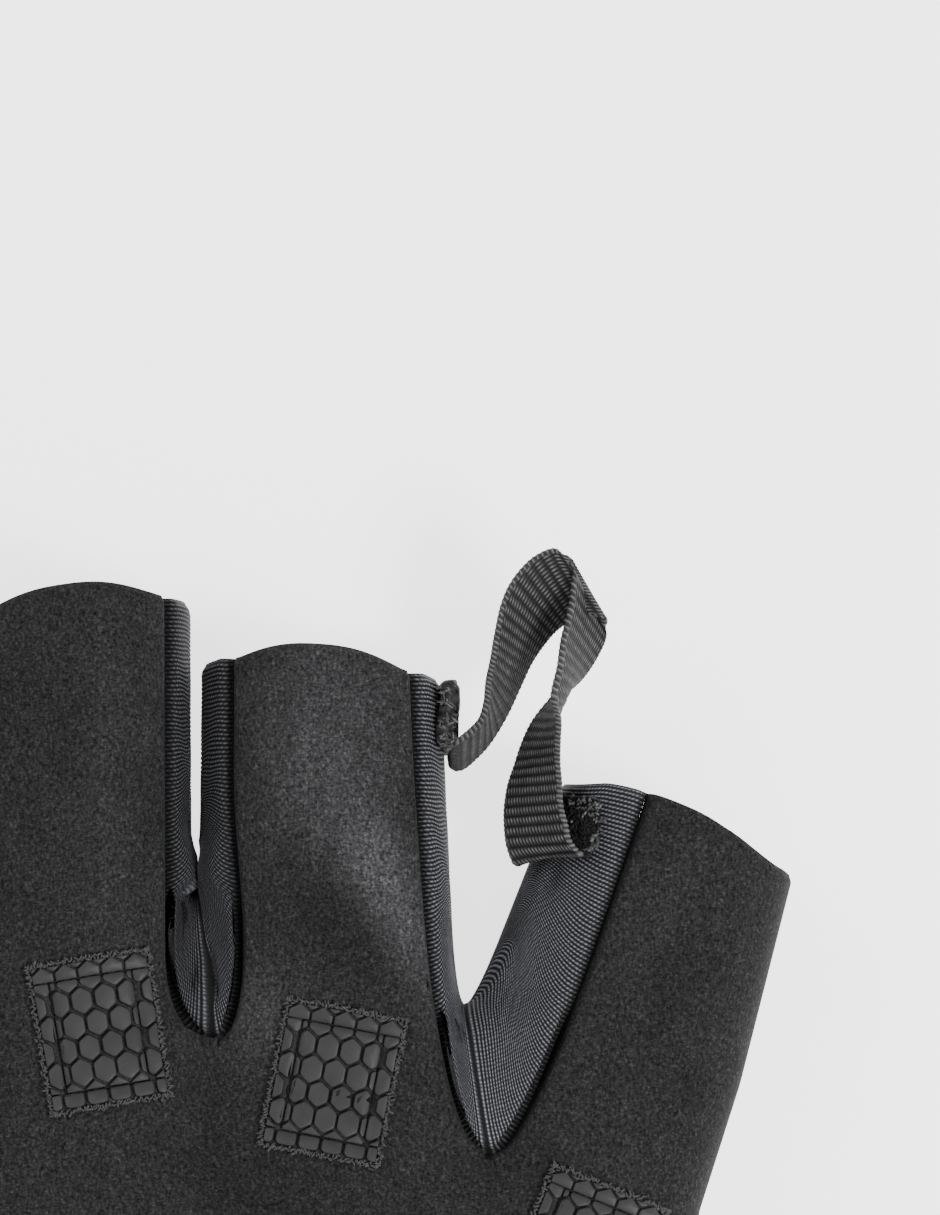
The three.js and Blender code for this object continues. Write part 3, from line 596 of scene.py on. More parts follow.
def section(y):
    down = -np.asarray(y) / PALM_LENGTH
    left = mix(KNUCKLE_LEFT, WRIST_CENTRE - WRIST_WIDTH / 2, along(PALM, 1, down))
    right = mix(KNUCKLE_RIGHT, WRIST_CENTRE + WRIST_WIDTH / 2, along(PALM, 2, down))
    return (left + right) / 2, (right - left) / 2, PALM_DEPTH * along(PALM, 3, down)


def body(angle, y):
    centre, half, high = section(y)
    across, up = rounded(angle)
    return swell(vectors(centre + half * across, y, standing(high, up)))


def body_angle(x, y, palm_side):
    centre, half, _ = section(y)
    across = np.clip((x - centre) / half, -1, 1)
    power = (CROWN_POWER if palm_side else SOLE_POWER) / 2
    angle = np.degrees(np.arccos(np.sign(across) * np.abs(across) ** power))
    return angle if palm_side else 360 - angle


def opened(angle, y, palm_side):
    share = np.clip((y - OPENING_TOP) / (OPENING_FOOT - OPENING_TOP), 0, 1)
    wide = np.sqrt(share * (1 - share)) * 2
    far = LEFT_SEAM - OPENING_REACH if palm_side else 270
    near = np.clip((angle - far) / (LEFT_SEAM - far), 0, 1)
    return angle + (-OPENING_LIFT if palm_side else OPENING_DROP) * wide * near**1.5


def column(finger, angle, row, palm_side):
    top = skin(finger, angle, stall_start(finger, angle, palm_side))
    middle = 90 if palm_side else 270
    at = body_angle(top[..., 0], top[..., 1], palm_side)
    outer = (palm_side == (angle > middle)) & (finger.left_side is None)
    outer = outer | ((palm_side != (angle > middle)) & (finger.right_side is None))
    if outer.any():
        centre = np.full_like(angle, middle)
        inner = skin(finger, centre, stall_start(finger, centre, palm_side))
        right_seam = -SIDE_SEAM if palm_side else 360 - SIDE_SEAM
        edge = right_seam if finger.left_side else LEFT_SEAM
        inner_at = body_angle(inner[..., 0], inner[..., 1], palm_side)
        at = np.where(outer, mix(inner_at, edge, (angle - middle) / (edge - middle)), at)
    y = mix(top[..., 1], -PALM_LENGTH, row)
    settle = (1 - smoothstep(row, 0, 0.3)) ** 1.5
    offset = top - body(opened(at, top[..., 1], palm_side), top[..., 1])
    return body(opened(at, y, palm_side), y) + offset * settle[..., None]


INDEX = fingers["index"]
LEFT_TOP = tube(INDEX, np.array(float(LEFT_SEAM)), np.array(INDEX.start * STALL_LENGTH))[1]
ROW_TOP = (LEFT_TOP - OPENING_TOP) / (LEFT_TOP + PALM_LENGTH)
ROW_FOOT = (LEFT_TOP - OPENING_FOOT) / (LEFT_TOP + PALM_LENGTH)


def thumb(share, t, palm_side):
    row = mix(ROW_TOP, ROW_FOOT, (1 - np.cos(np.pi * share)) / 2)
    base = column(INDEX, np.full_like(share, LEFT_SEAM), row, palm_side)
    across, up = rounded(180 * share if palm_side else 360 - 180 * share)
    ahead, right = ways(-THUMB_TURN)
    root = body(np.array(180.0), np.array((OPENING_TOP + OPENING_FOOT) / 2))
    rim = root + np.multiply.outer(THUMB_REACH + RIM_ARCH * np.abs(up), ahead)
    rim = rim + np.multiply.outer(THUMB_WIDTH / 2 * across, right)
    rim[..., 2] = standing(THUMB_DEPTH, up)
    run = np.linalg.norm(rim - base, axis=-1)[..., None]
    t = np.asarray(t)[..., None]
    ease = t**3 - 2 * t**2 + t
    return (
        base * (2 * t**3 - 3 * t**2 + 1)
        + ahead * run * ease
        - right * THUMB_WEB * run * (1 - np.asarray(share)[..., None]) ** 2 * ease
        + rim * (3 * t**2 - 2 * t**3)
    )


print("thumb opening, mm from the knuckles:", round(OPENING_TOP, 1), "to", round(OPENING_FOOT, 1))

# %% [markdown]
# ## Sheets of cloth
# Every fabric piece is made in the same way. A flat grid comes from an operator, each of
# its corners goes to where a formula says, and neighbouring grids are welded. Then the
# cloth is shaped along its own normals: it rolls in at a seam, turns over at a rim and
# rises in ribs. Last, Solidify gives it its real thickness, inwards. Corners lie closer
# together at the edges, where the cloth bends most.


# %% Cloth helpers
NO_PAINTED_SHADE = 9  # mm to the nearest seam, for cloth that gets no painted seam shade
SUEDE_WALL, JERSEY_WALL = 1.3, 1.2
# How deep and how wide the cloth rolls in at a suede seam, at another seam and at a rim.
DEEP_GROOVE, GROOVE, RIM = (1.0, 0.6), (0.8, 0.6), (0.35, 0.4)


def closer(count, edges=0.8, both=True):
    """Shares from 0 to 1, closer together at both ends, or only at 1."""
    u = np.linspace(0, 1, count + 1)
    if both:
        return u - edges * np.sin(2 * np.pi * u) / (2 * np.pi)
    return u + edges * np.sin(np.pi * u) / np.pi


class Cloth:
    """Sheets of cloth that are welded and then shaped along their normals."""

    def __init__(self):
        self.bm = bmesh.new()
        self.rise = self.bm.verts.layers.float.new("rise")
        self.lift = self.bm.verts.layers.float.new("lift")
        self.seam = self.bm.verts.layers.float.new("seam")
        self.stroke = self.bm.verts.layers.float.new("stroke")
        self.map = self.bm.loops.layers.uv.new("cloth")

    def lay(self, us, vs, surface, shape, flip=False, lift=None, cloth_map=None):
        """A grid of us by vs. shape gives each corner's height along the normal and its
        distance from a seam, from its point and its millimetres from the four edges."""
        made = bmesh.ops.create_grid(
            self.bm, x_segments=len(us) - 1, y_segments=len(vs) - 1, size=0.5
        )["verts"]
        flat = np.array([v.co[:2] for v in made]) + 0.5
        i = np.rint(flat[:, 0] * (len(us) - 1)).astype(int)
        j = np.rint(flat[:, 1] * (len(vs) - 1)).astype(int)
        point = surface(*np.meshgrid(us, vs, indexing="ij"))
        left, low = run_along(point), run_along(point, 1)
        right, high = left[-1:] - left, low[:, -1:] - low
        raised, near = shape(point, left, right, low, high)
        near = np.exp(-((near / 0.5) ** 2)) + np.zeros_like(left)
        uv = cloth_map(left, right, low, high) if cloth_map else (left - (left + right) / 2, low)
        where = dict(zip(made, zip(uv[0][i, j].tolist(), uv[1][i, j].tolist())))
        lifted = raised if lift is None else lift
        for v, p, *values in zip(made, *(a[i, j].tolist() for a in (point, raised, lifted, near))):
            v.co = p
            v[self.rise], v[self.lift], v[self.seam] = values
        faces = list({f for v in made for f in v.link_faces})
        for f in faces:
            for loop in f.loops:
                loop[self.map].uv = where[loop.vert]
        if flip:
            bmesh.ops.reverse_faces(self.bm, faces=faces)

    def sew(self):
        """Welds the grids and moves each corner along its normal by its rise."""
        bmesh.ops.remove_doubles(self.bm, verts=self.bm.verts, dist=0.02)
        self.bm.normal_update()
        for v in self.bm.verts:
            v.co += v.normal * v[self.rise]


def finished(bm, name, material, nodes=(), wall=0.0):
    """Makes the object, in the part's place, on its body, instead of its CAD nodes. A wall
    gives a sheet that thickness, inwards."""
    for v in bm.verts:
        v.co = to_part(v.co)
    mesh = bpy.data.meshes.new(name)
    bm.to_mesh(mesh)
    bm.free()
    mesh.shade_smooth()
    mesh.materials.append(material)
    piece = bpy.data.objects.new(name, mesh)
    bpy.context.collection.objects.link(piece)
    if wall:
        thick = piece.modifiers.new("thickness", "SOLIDIFY")
        thick.thickness = wall * TO_METRES
        thick.offset = -1
    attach(piece, "root")
    if nodes:
        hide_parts(*nodes)
    print(name, "faces:", len(mesh.polygons))


def roll(distance, deep, wide):
    """How far cloth rolls in beside a seam or an edge."""
    return -deep * np.exp(-((distance / wide) ** 2))


# %% [markdown]
# ### Palm and back panels
# Each panel has four lobes, one for each finger. A lobe's sides are seams, and so is the
# panel's wrist end. There the cloth rolls in by up to a millimetre, and its colour is painted
# darker in the groove, which is painted shade. A lobe's fingertip end is a raw edge that only turns
# over a little.


# %% Panels
def web_distance(point, palm_side):
    """Distance from the nearest slot's end. It never falls to zero, so that the groove of the
    seam is shallower there."""
    ends = [web_point(web, np.array(0.0 if palm_side else 1.0)) for web in webs.values()]
    return np.min([np.linalg.norm(point - end, axis=-1) for end in ends], axis=0) + 0.5


def panel(cloth, palm_side, columns, stall_rows, hand_rows, groove):
    for finger in fingers.values():
        edges = seam_angles(finger, palm_side)[::1 if palm_side else -1]

        def stall(c, t):
            angle = mix(*edges, c)
            start = stall_start(finger, angle, palm_side)
            if palm_side:
                angle = angle + mix(flared(finger.right_side, t), flared(finger.left_side, t), c)
            return skin(finger, angle, mix(start, stall_end(finger, angle), t))

        def hand(c, row):
            return column(finger, mix(*edges, c), row, palm_side)

        def on_stall(point, left, right, low, high):
            seam = np.minimum(np.minimum(left, right), web_distance(point, palm_side))
            return roll(seam, *groove) + roll(high, *RIM), seam

        def on_hand(point, left, right, low, high):
            seam = np.minimum(web_distance(point, palm_side), high)
            outer_left = finger.left_side is None
            if outer_left or finger.right_side is None:
                seam = np.minimum(seam, left if outer_left != palm_side else right)
            return roll(seam, *groove), seam

        us = closer(columns)
        cloth.lay(us, closer(stall_rows, both=False), stall, on_stall, flip=True)
        cloth.lay(us, np.linspace(0, 1, hand_rows + 1), hand, on_hand)


palm = Cloth()
panel(palm, True, 46, 60, 90, DEEP_GROOVE)
palm.sew()

# Where the nap is painted lighter or darker, partly as stroked nap and partly as painted light and
# shade, such as the painted shade in the ring finger's hollow: x, y, long, wide, turn, and how
# much.
PAINTED_LIGHT_AND_NAP_PATCHES = [
    (1, 29, 14, 8, 90, 0.85), (6.5, 15.5, 11, 2.8, -65, 1.5), (0.6, 12.6, 8.5, 4, -48, -0.45),
    (-7.5, 2.5, 7, 4, -40, 0.7), (-23, 32, 22, 2.2, 90, 0.25), (36, 15, 14, 3, 72, 0.15),
]
for v in palm.bm.verts:
    for x, y, long, wide, turn, change in PAINTED_LIGHT_AND_NAP_PATCHES:
        dx, dy = v.co.x - x, v.co.y - y
        c, d = math.cos(math.radians(turn)), math.sin(math.radians(turn))
        off = ((c * dx + d * dy) / long) ** 2 + ((c * dy - d * dx) / wide) ** 2
        v[palm.stroke] += change * math.exp(-off)
palm_tree = BVHTree.FromBMesh(palm.bm)
finished(palm.bm, "palm_suede", suede_cloth, ["palm_panel"], SUEDE_WALL)

back = Cloth()
panel(back, False, 30, 40, 70, GROOVE)
back.sew()
finished(back.bm, "back_jersey_panel", back_knit, ["back_panel"], JERSEY_WALL)

# %% [markdown]
# ### Ribbed side strips
# A strip of rib knit runs up one finger, round the bottom of the slot and up the next. Its
# ribs lie square across the fingers, and fan down to the bottom of the slot. Four rows of
# corners make one rib. The rows are straight across the finger at the top, climb a little
# towards the slot lower down and follow the web at the bottom, with smooth changes between
# them. Low in the slot the knit is loose and puffs up, until the two legs touch each other.


# %% Side strips
FILL_DROP, FILL_PUFF = 0.5, 1.0
LOOSE_SWELL, TOUCH_GAP = 1.5, 0.03
# Shares of the way up a slot: where its loose filling ends, and where its left wall swells.
FILL_END, STEEP_WALL = (0.72, 1.04), (0.94, 1.08)
LEVEL = (0.35, 0.75)

# climb: for the left leg and the right leg, by how many mm the ribs climb towards the slot,
# over what share of the strip's width, and between which shares of its length they come
# level again. ends: where the loose knit stops swelling, as shares of the way up the slot.
# shade: painted light, how much lighter the knit of an open slot is painted, as more light
# reaches it. creases: depth, width, and the line from above, as x, y; a crease is also
# painted darker along its line, as shade in its fold.
STRIPS = {
    ("index", "middle"): Record(
        climb=((0.5, 0.2, *LEVEL), (1.5, 0.25, *LEVEL)), ends=(1.05, 1.45), shade=0.0, creases=[],
    ),
    ("middle", "ring"): Record(
        climb=((0.5, 0.2, *LEVEL), (1.5, 0.25, *LEVEL)), ends=(1.05, 1.45), shade=0.0,
        creases=[
            (1.0, 0.4, [(-13.4, 15.8), (-12.8, 11.6), (-12.6, 9.5), (-11.8, 7.4), (-11.6, 4.7)]),
            (0.45, 0.5, [(-12.7, 9.7), (-13.9, 5.5)]),
        ],
    ),
    ("ring", "little"): Record(
        climb=((0, 0.16, *LEVEL), (5, 0.5, 0.5, 1)), ends=(0.7, 1.15), shade=1.1,
        creases=[(0.7, 1.2, [(23.6, 17.5), (20.4, 12.8), (17.8, 8.6)])],
    ),
}


def strip_leg(finger, side, climb):
    """A strip's surface on one finger. Below the slot's bottom the cloth is pushed up: it
    dips by FILL_DROP at its seam and puffs up by FILL_PUFF beside it."""
    high, wide, level_from, level_to = climb

    def on_stall(v, t):
        angle = mix(side.palm + flared(side, t), float(side.back), v)
        square = smoothstep(t, 0, 0.75)
        start = mix(web_start(finger, side, v), web_start(finger, side, np.array(0.0)), square)
        climbed = high * smoothstep(t, 0, 0.2) * (1 - smoothstep(t, level_from, level_to))
        climbed = climbed * smoothstep(v, 0, wide) * (1 - smoothstep(v, 0.5, 1))
        return skin(finger, angle, mix(start, stall_end(finger, angle), t) + climbed)

    def leg(v, t):
        wobble = np.sin(2 * np.pi * (2.5 * v + 6 * t)) * np.sin(np.pi * v)
        t = t + 0.02 * wobble * t * (1 - t)
        point, seam = on_stall(v, t), on_stall(np.zeros_like(v), t)
        drop = seam[..., 2] - point[..., 2]
        dip = FILL_DROP * (1 - np.exp(-np.maximum(drop, 0) / FILL_DROP))
        shallow = np.where(drop > 0, dip, drop)
        pushed = 1 - smoothstep(up_slot(side.web, point[..., 1]), *FILL_END)
        pushed = pushed * (1 - smoothstep(v, 0.4, 0.55))
        inside = np.linalg.norm(point[..., :2] - seam[..., :2], axis=-1)
        puffed = FILL_PUFF * smoothstep(inside, 0, 1.1)
        point[..., 2] = seam[..., 2] - mix(drop, shallow - puffed, pushed)
        return point

    return leg


def line_distance(point, line):
    """Distance from above to a line of points."""
    best = np.full(point.shape[:-1], 99.0)
    for a, b in zip(np.array(line[:-1]), np.array(line[1:])):
        share = np.clip((point[..., :2] - a) @ (b - a) / ((b - a) @ (b - a)), 0, 1)
        off = point[..., :2] - a - share[..., None] * (b - a)
        best = np.minimum(best, np.linalg.norm(off, axis=-1))
    return best


def slack(point, low, side, ends):
    """How far the loose knit swells into the slot. The left wall is steep, so it starts to
    swell higher up."""
    left = run_along(point[..., ::2])
    up = up_slot(side.web, point[..., 1])
    above = smoothstep(up, *(STEEP_WALL if side.right else FILL_END))
    across = smoothstep(left, 0, 1.8) * (1 - smoothstep(left, 5, 9))
    loose = LOOSE_SWELL * (1 - smoothstep(up, *ends))
    return across * loose * smoothstep(low, 0, 0.8) * above


def room(point, web):
    """How far a strip can rise before it meets the strip on the other side of its slot."""
    normal = np.cross(np.gradient(point, axis=0), np.gradient(point, axis=1))
    facing = np.abs(normal[..., 0]) / np.maximum(np.linalg.norm(normal, axis=-1), 1e-9)
    up = up_slot(web, point[..., 1])
    away_from = np.abs(point[..., 0] - web_middle(web, np.clip(up, 0, 1)))
    free = 3 * (1 - smoothstep(up, 0.3, 0.6))
    return away_from / np.maximum(facing, 0.15) - TOUCH_GAP + free


def side_strip(pair, strip):
    cloth = Cloth()
    web = webs[pair]
    for finger, climb in zip((fingers[n] for n in pair), strip.climb):
        side = finger.right_side if finger is fingers[pair[0]] else finger.left_side
        leg = strip_leg(finger, side, climb)
        seam = leg(np.zeros(60), np.linspace(0, 1, 60))
        ribs = round(run_along(seam)[-1] / RIB_PITCH)
        rows = np.linspace(0, 1, 4 * ribs + 1)
        vs = closer(36)
        count = np.broadcast_to(rows * ribs, (len(vs), len(rows)))

        def shaped(point, left, right, low, high):
            fade = smoothstep(high, 0.2, 1.2)
            ridge = 0.13 * np.abs(np.sin(np.pi * count)) ** 0.8 * fade
            seam = np.minimum(left, right)
            rolled = roll(seam, 1.0, 0.55) * mix(0.4, 1.0, smoothstep(low, 0.5, 2.5))
            swollen = slack(point, low, side, strip.ends)
            rise = np.minimum(ridge + swollen, room(point, web)) + rolled + roll(high, *RIM)
            for deep, wide, line in strip.creases:
                away_from = line_distance(point, line)
                fading = smoothstep(left, 7, 10)
                rise = rise + roll(away_from, deep, wide) * (1 - fading)
                # A crease also darkens the colour near its line, through the seam attribute:
                # painted shade in its fold, fading out away from the strip's edge.
                seam = np.minimum(seam, away_from / wide * 0.6 + NO_PAINTED_SHADE * fading + 0.15)
            return rise, seam

        def mapped(left, right, low, high):
            return left, count * RIB_PITCH

        cloth.lay(vs, rows, leg, shaped, flip=side is finger.left_side, cloth_map=mapped)
    cloth.sew()
    # Painted light: the knit is painted lighter by the strip's shade where its slot is open to the
    # light, and is also painted lighter round the tongue at the palm end of the slot.
    tongue = [web.x + web.skew * PITCH, web.palm * STALL_LENGTH + 3]
    for v in cloth.bm.verts:
        near = math.exp(-((v.co.x - tongue[0]) / 3.5) ** 2 - ((v.co.y - tongue[1]) / 4.5) ** 2)
        v[cloth.stroke] = strip.shade + 0.5 * near
    name = "_".join(pair)
    finished(cloth.bm, "ribs_" + name, rib_knit, ["side_strip_" + name], 1.0)


for pair, strip in STRIPS.items():
    side_strip(pair, strip)

# %% [markdown]
# ### Thumb
# The thumb is two halves, suede on the palm side and jersey on the back, sewn to each other
# and round the opening in the side of the hand. Their lower ends go in under its edge, so
# the seam is closed all the way round.


# %% Thumb
TUCKED = 0.035  # share of its length that goes in under the edge of the palm


def thumb_half(name, palm_side, material, node, wall):
    cloth = Cloth()

    def shaped(point, left, right, low, high):
        seam = np.minimum(np.minimum(left, right), np.maximum(low - TUCKED * THUMB_REACH, 0))
        return roll(seam, *GROOVE) + roll(high, *RIM), seam

    lengths = closer(60, 0.7) * (1 + TUCKED) - TUCKED
    cloth.lay(closer(48, 0.7), lengths, lambda q, t: thumb(q, t, palm_side), shaped, flip=palm_side)
    cloth.sew()
    finished(cloth.bm, name, material, [node], wall)


thumb_half("thumb_suede", True, suede_cloth, "thumb_palm", SUEDE_WALL)
thumb_half("thumb_jersey", False, back_knit, "thumb_back", JERSEY_WALL)

# %% [markdown]
# ### Wrist cuff and strap
# The cuff is a thick knitted band with broad upright ribs. A strap of brushed loop cloth
# crosses it on the palm side, with a bound edge and the groove of a seam just inside it.

# %% Cuff
CUFF_RIBS = 84

cuff = Cloth()
cuff_us = np.linspace(0, 1, CUFF_RIBS * 6 + 1)


def cuff_surface(u, v):
    return body(360 * u % 360, -PALM_LENGTH - CUFF_LENGTH * v)


def cuff_shape(point, left, right, low, high):
    ridge = 0.16 * (np.abs(np.sin(np.pi * CUFF_RIBS * cuff_us)) ** 0.7 - 1)[:, None]
    fade = smoothstep(high, 1.5, 4) * smoothstep(low, 0.3, 1.5)
    hem = roll(high, 0.7, 0.7) + roll(high - 3.2, 0.25, 0.35)
    return ridge * fade + roll(low, *GROOVE) + hem, low


cuff.lay(cuff_us, closer(34, 0.75), cuff_surface, cuff_shape)
cuff.sew()
finished(cuff.bm, "wrist_cuff_knit", cuff_knit, ["wrist_cuff"], 2.0)

# %% Strap
STRAP_WIDTH, STRAP_WALL, STRAP_SPAN, STRAP_TIP, LAY_GAP = 23, 1.8, (10, 160), 20, 0.3


def strap_surface(u, v):
    start, end = STRAP_SPAN
    angle = mix(float(start), float(end), u)
    past = np.clip((angle - (end - STRAP_TIP)) / STRAP_TIP, 0, 1)
    half = STRAP_WIDTH / 2 * np.sqrt(1 - 0.75 * past * past)
    y = -PALM_LENGTH - CUFF_LENGTH / 2 + half * (1 - 2 * v)
    ahead = body(angle + 1, y) - body(angle - 1, y)
    out = np.cross(ahead, (0, 1, 0))
    out = out / np.linalg.norm(out, axis=-1, keepdims=True)
    return body(angle, y) - out * (LAY_GAP + STRAP_WALL)


def strap_shape(point, *edges):
    edge = np.minimum.reduce(edges)
    return roll(edge, 0.6, 0.5) + roll(edge - 2, 0.3, 0.35), edge + NO_PAINTED_SHADE


strap = Cloth()
strap.lay(closer(150, 0.6), closer(44, 0.75), strap_surface, strap_shape)
strap.sew()
finished(strap.bm, "wrist_strap_cloth", strap_nap, ["wrist_strap"], STRAP_WALL)

# %% [markdown]
# ### Pull loop
# A band of nylon webbing, 8.4 mm wide, is sewn to the ring finger's side strip and to the
# little finger's. It rises, twists over at the top and comes down in front. The CAD part
# gives its two edges as a table of cross-sections, and a smooth curve through them gives
# as many as the weave needs. Each is a closed outline: a flat, a rounded edge, the other
# flat and the other edge. The floats of the weave are real bumps: rows across the band,
# each a line of short slanting ovals, staggered from row to row.

# %% Webbing
LOOP_WIDTH = 8.4
# near edge x, y, z, far edge x, y, bow
LOOP = [
    (13.1, 37.8, 14.2, 13.1, 38.9, 0.3), (13.2, 35, 14.2, 13.2, 35.9, 0.3),
    (13.2, 32.2, 14.3, 13.1, 31.8, 0.2), (13.4, 31.4, 14.4, 13.2, 29.6, 0),
    (14.4, 31.5, 14.6, 14.3, 29.6, 0), (16.2, 33.2, 14.8, 16.1, 31.1, 0),
    (16.9, 35.1, 15, 17.4, 32.7, 0), (17.2, 37.4, 15.3, 18.9, 35.3, 0),
    (17.7, 39.7, 15.6, 20.2, 38.1, 0), (18.1, 42.2, 16, 21.4, 40.5, 0),
    (18.7, 45.4, 16.4, 22.8, 42.3, 0), (19.8, 47.9, 16.7, 24.2, 43.7, 0),
    (21.7, 50.1, 17, 25.9, 44.6, 0), (23.9, 51.2, 17.2, 27.8, 44.9, 0),
    (25.1, 50.6, 17.3, 29.2, 44.5, 0), (26.1, 49.4, 17.3, 29.4, 43.7, 0),
    (26.1, 47.2, 17.3, 29.3, 42.8, 0), (25.8, 44.6, 17.2, 28.6, 41.4, 0),
    (25.1, 41.6, 17, 27.4, 39.6, 0.1), (24.75, 38.8, 16.9, 26, 38.2, 0.5),
    (23.9, 36, 17, 24.1, 36.6, 1.1), (24.2, 33.5, 17.3, 22.3, 34.1, 0.6),
    (24.2, 31.1, 17.8, 21.1, 31.6, 0.2), (24.2, 28.8, 18.4, 20.2, 28.9, 0),
    (24.4, 26.6, 18.9, 19.5, 26.8, 0), (24.5, 24.2, 19.2, 19.1, 24.3, 0),
    (25, 22.1, 19.4, 19.1, 22.1, 0), (25.4, 20.4, 19.4, 19.3, 20.4, 0.1),
    (26.3, 19.2, 19, 19.8, 18.8, 0.4), (27.1, 18.8, 18.3, 20.2, 18.3, 0.6),
    (27.8, 19.4, 17.6, 20.8, 18.9, 0.8), (28.3, 20.8, 17.1, 21.3, 20.9, 0.8),
    (28.5, 22.7, 16.8, 21.9, 23.1, 0.8), (28.3, 24.9, 16.8, 22.5, 25.6, 0.8),
]
LOOP = np.array([(i, *row) for i, row in enumerate(LOOP)], float)
OVERHANG = 0.3  # how far the soft edge lies outside the table's points
TURN_ROW = 15.3  # where the webbing bends back sharply
RING_END, LITTLE_END = (2.4, 3.4), (27.6, 28.8)  # rows over which the sewn ends begin
outward = LOOP[4:, 4:6] - LOOP[4:, 1:3]
outward *= OVERHANG / np.linalg.norm(outward, axis=1, keepdims=True)
LOOP[4:, 1:3] -= outward
LOOP[4:, 4:6] += outward


def loop_section(at):
    """Near edge, direction across and bow of the webbing's section at a row of the table."""
    near_x, near_y, near_z, far_x, far_y, bow = (along(LOOP, c, at) for c in range(1, 7))
    dx, dy = far_x - near_x, far_y - near_y
    across = vectors(dx, dy, -np.sqrt(LOOP_WIDTH**2 - dx * dx - dy * dy))
    return vectors(near_x, near_y, near_z), across, bow


def loop_frame(at):
    """The webbing's near edge, the way across it and the way out of its face."""
    near, across, bow = loop_section(at)
    before, across_before, _ = loop_section(at - 0.2)
    after, across_after, _ = loop_section(at + 0.2)
    ahead = after - before + (across_after - across_before) / 2
    out = np.cross(ahead, across)
    return near, across, bow, out / np.linalg.norm(out, axis=-1, keepdims=True)


def loop_surface(at, share, off):
    near, across, bow, out = loop_frame(at)
    return near + across * share[..., None] + out * (4 * share * (1 - share) * bow + off)[..., None]


coarse = np.linspace(0, len(LOOP) - 1, 1200)
middle_line = loop_surface(coarse, np.full_like(coarse, 0.5), 0.0)
run = run_along(middle_line)
print("webbing length, mm:", round(run[-1], 1))
ROWS_EACH, FLOATS_EACH = 6, 4
loop_rows = round(run[-1] / WEAVE_ROW) * ROWS_EACH
loop_at = np.interp(np.linspace(0, run[-1], loop_rows + 1), run, coarse)

# Round the section: one flat, a rounded edge, the other flat and the other edge.
EDGE_RADIUS = 0.36
steps_across = round(LOOP_WIDTH / FLOAT_WIDTH * FLOATS_EACH)
flat = np.linspace(-1, 1, steps_across + 1) * (LOOP_WIDTH / 2 - EDGE_RADIUS)
bend = np.linspace(-np.pi / 2, np.pi / 2, 7)[1:-1]
edge_x = flat[-1] + EDGE_RADIUS * np.cos(bend)
edge_z = -EDGE_RADIUS * np.sin(bend)
flat_z = np.full_like(flat, EDGE_RADIUS)
section_x = np.concatenate([flat, edge_x, -flat, -edge_x, flat[:1]])
section_z = np.concatenate([flat_z, edge_z, -flat_z, -edge_z, flat_z[:1]])
around = np.arange(len(section_x), dtype=float)


def weave():
    """Height of the floats, from 0 to 1, at each row and column of the webbing's grid."""
    length = np.linspace(0, run[-1], loop_rows + 1)[:, None] / WEAVE_ROW
    wide = section_x[None] + LOOP_WIDTH / 2
    row = np.floor(length)
    phase = length - row
    bulge = np.sin(np.pi * phase) ** 0.45
    shift = wide / FLOAT_WIDTH + 0.5 * (row % 2) + 0.25 * phase
    floats = np.abs(np.sin(np.pi * shift)) ** 0.8
    woven = bulge * (0.05 + 0.95 * floats) * (1.1 - 0.45 * phase)
    edge = np.minimum(wide, LOOP_WIDTH - wide)
    bead = 0.35 + 0.6 * np.abs(np.sin(2 * np.pi * length)) ** 2
    return mix(bead, woven, smoothstep(edge, 0.25, 0.6))


floats = weave()


def loop_shape(point, left, right, low, high):
    """The floats flatten where the webbing's rows crowd together in a bend. Its two sewn ends
    are painted darker: painted shade, where the band lies in shadow at its sewn ends."""
    step = np.linalg.norm(np.gradient(point, axis=0), axis=-1) / (WEAVE_ROW / ROWS_EACH)
    tight = np.exp(-(((loop_at - TURN_ROW) / 0.8) ** 2))[:, None]
    relief = 0.16 * np.clip(step, 0, 1) ** 2 * (floats - 0.6) * (1 - tight)
    # Painted shade: the colour over the sewn ends is darkened through the seam attribute, as the
    # band lies in shadow there.
    free = smoothstep(loop_at, *RING_END) * (1 - smoothstep(loop_at, *LITTLE_END))
    return relief, np.broadcast_to(free[:, None] * 2, relief.shape)


def loop_point(at, place):
    share = np.interp(place, around, section_x) / LOOP_WIDTH + 0.5
    return loop_surface(at, share, np.interp(place, around, section_z))


loop = Cloth()
loop.lay(loop_at, around, loop_point, loop_shape, lift=floats,
         cloth_map=lambda left, right, low, high: (low, left))
loop.sew()
bmesh.ops.holes_fill(loop.bm, edges=loop.bm.edges, sides=0)
finished(loop.bm, "pull_loop_webbing", webbing_weave, ["pull_loop"])

# %% [markdown]
# ### Ends of the loop
# Each end of the webbing is folded under and held by a dense bar of stitches, dark like the
# yarn, with a few paler frayed ends. A stitch is a small long bead. It is modelled round the
# origin and then seated on the surface where it belongs.


# %% Stitches
BATCH = 40


class Threads:
    """Many small stitches. An operator looks at its whole mesh each time, so they are made
    in small batches, which are joined at the end."""

    def __init__(self):
        self.batches, self.count = [], 0

    def stitch(self, length, thick):
        """One short stitch, modelled round the origin along Y."""
        if self.count % BATCH == 0:
            self.batches.append(bmesh.new())
        self.count += 1
        made = bmesh.ops.create_uvsphere(self.batches[-1], u_segments=6, v_segments=5, radius=0.5)
        for v in made["verts"]:
            v.co = (v.co.x * thick, v.co.z * length, v.co.y * thick)
        return made["verts"]

    def piece(self, name, material, slot):
        joined = bmesh.new()
        for batch in self.batches:
            part = bpy.data.meshes.new("batch")
            batch.to_mesh(part)
            joined.from_mesh(part)
            batch.free()
            bpy.data.meshes.remove(part)
        finished(joined, name, material)


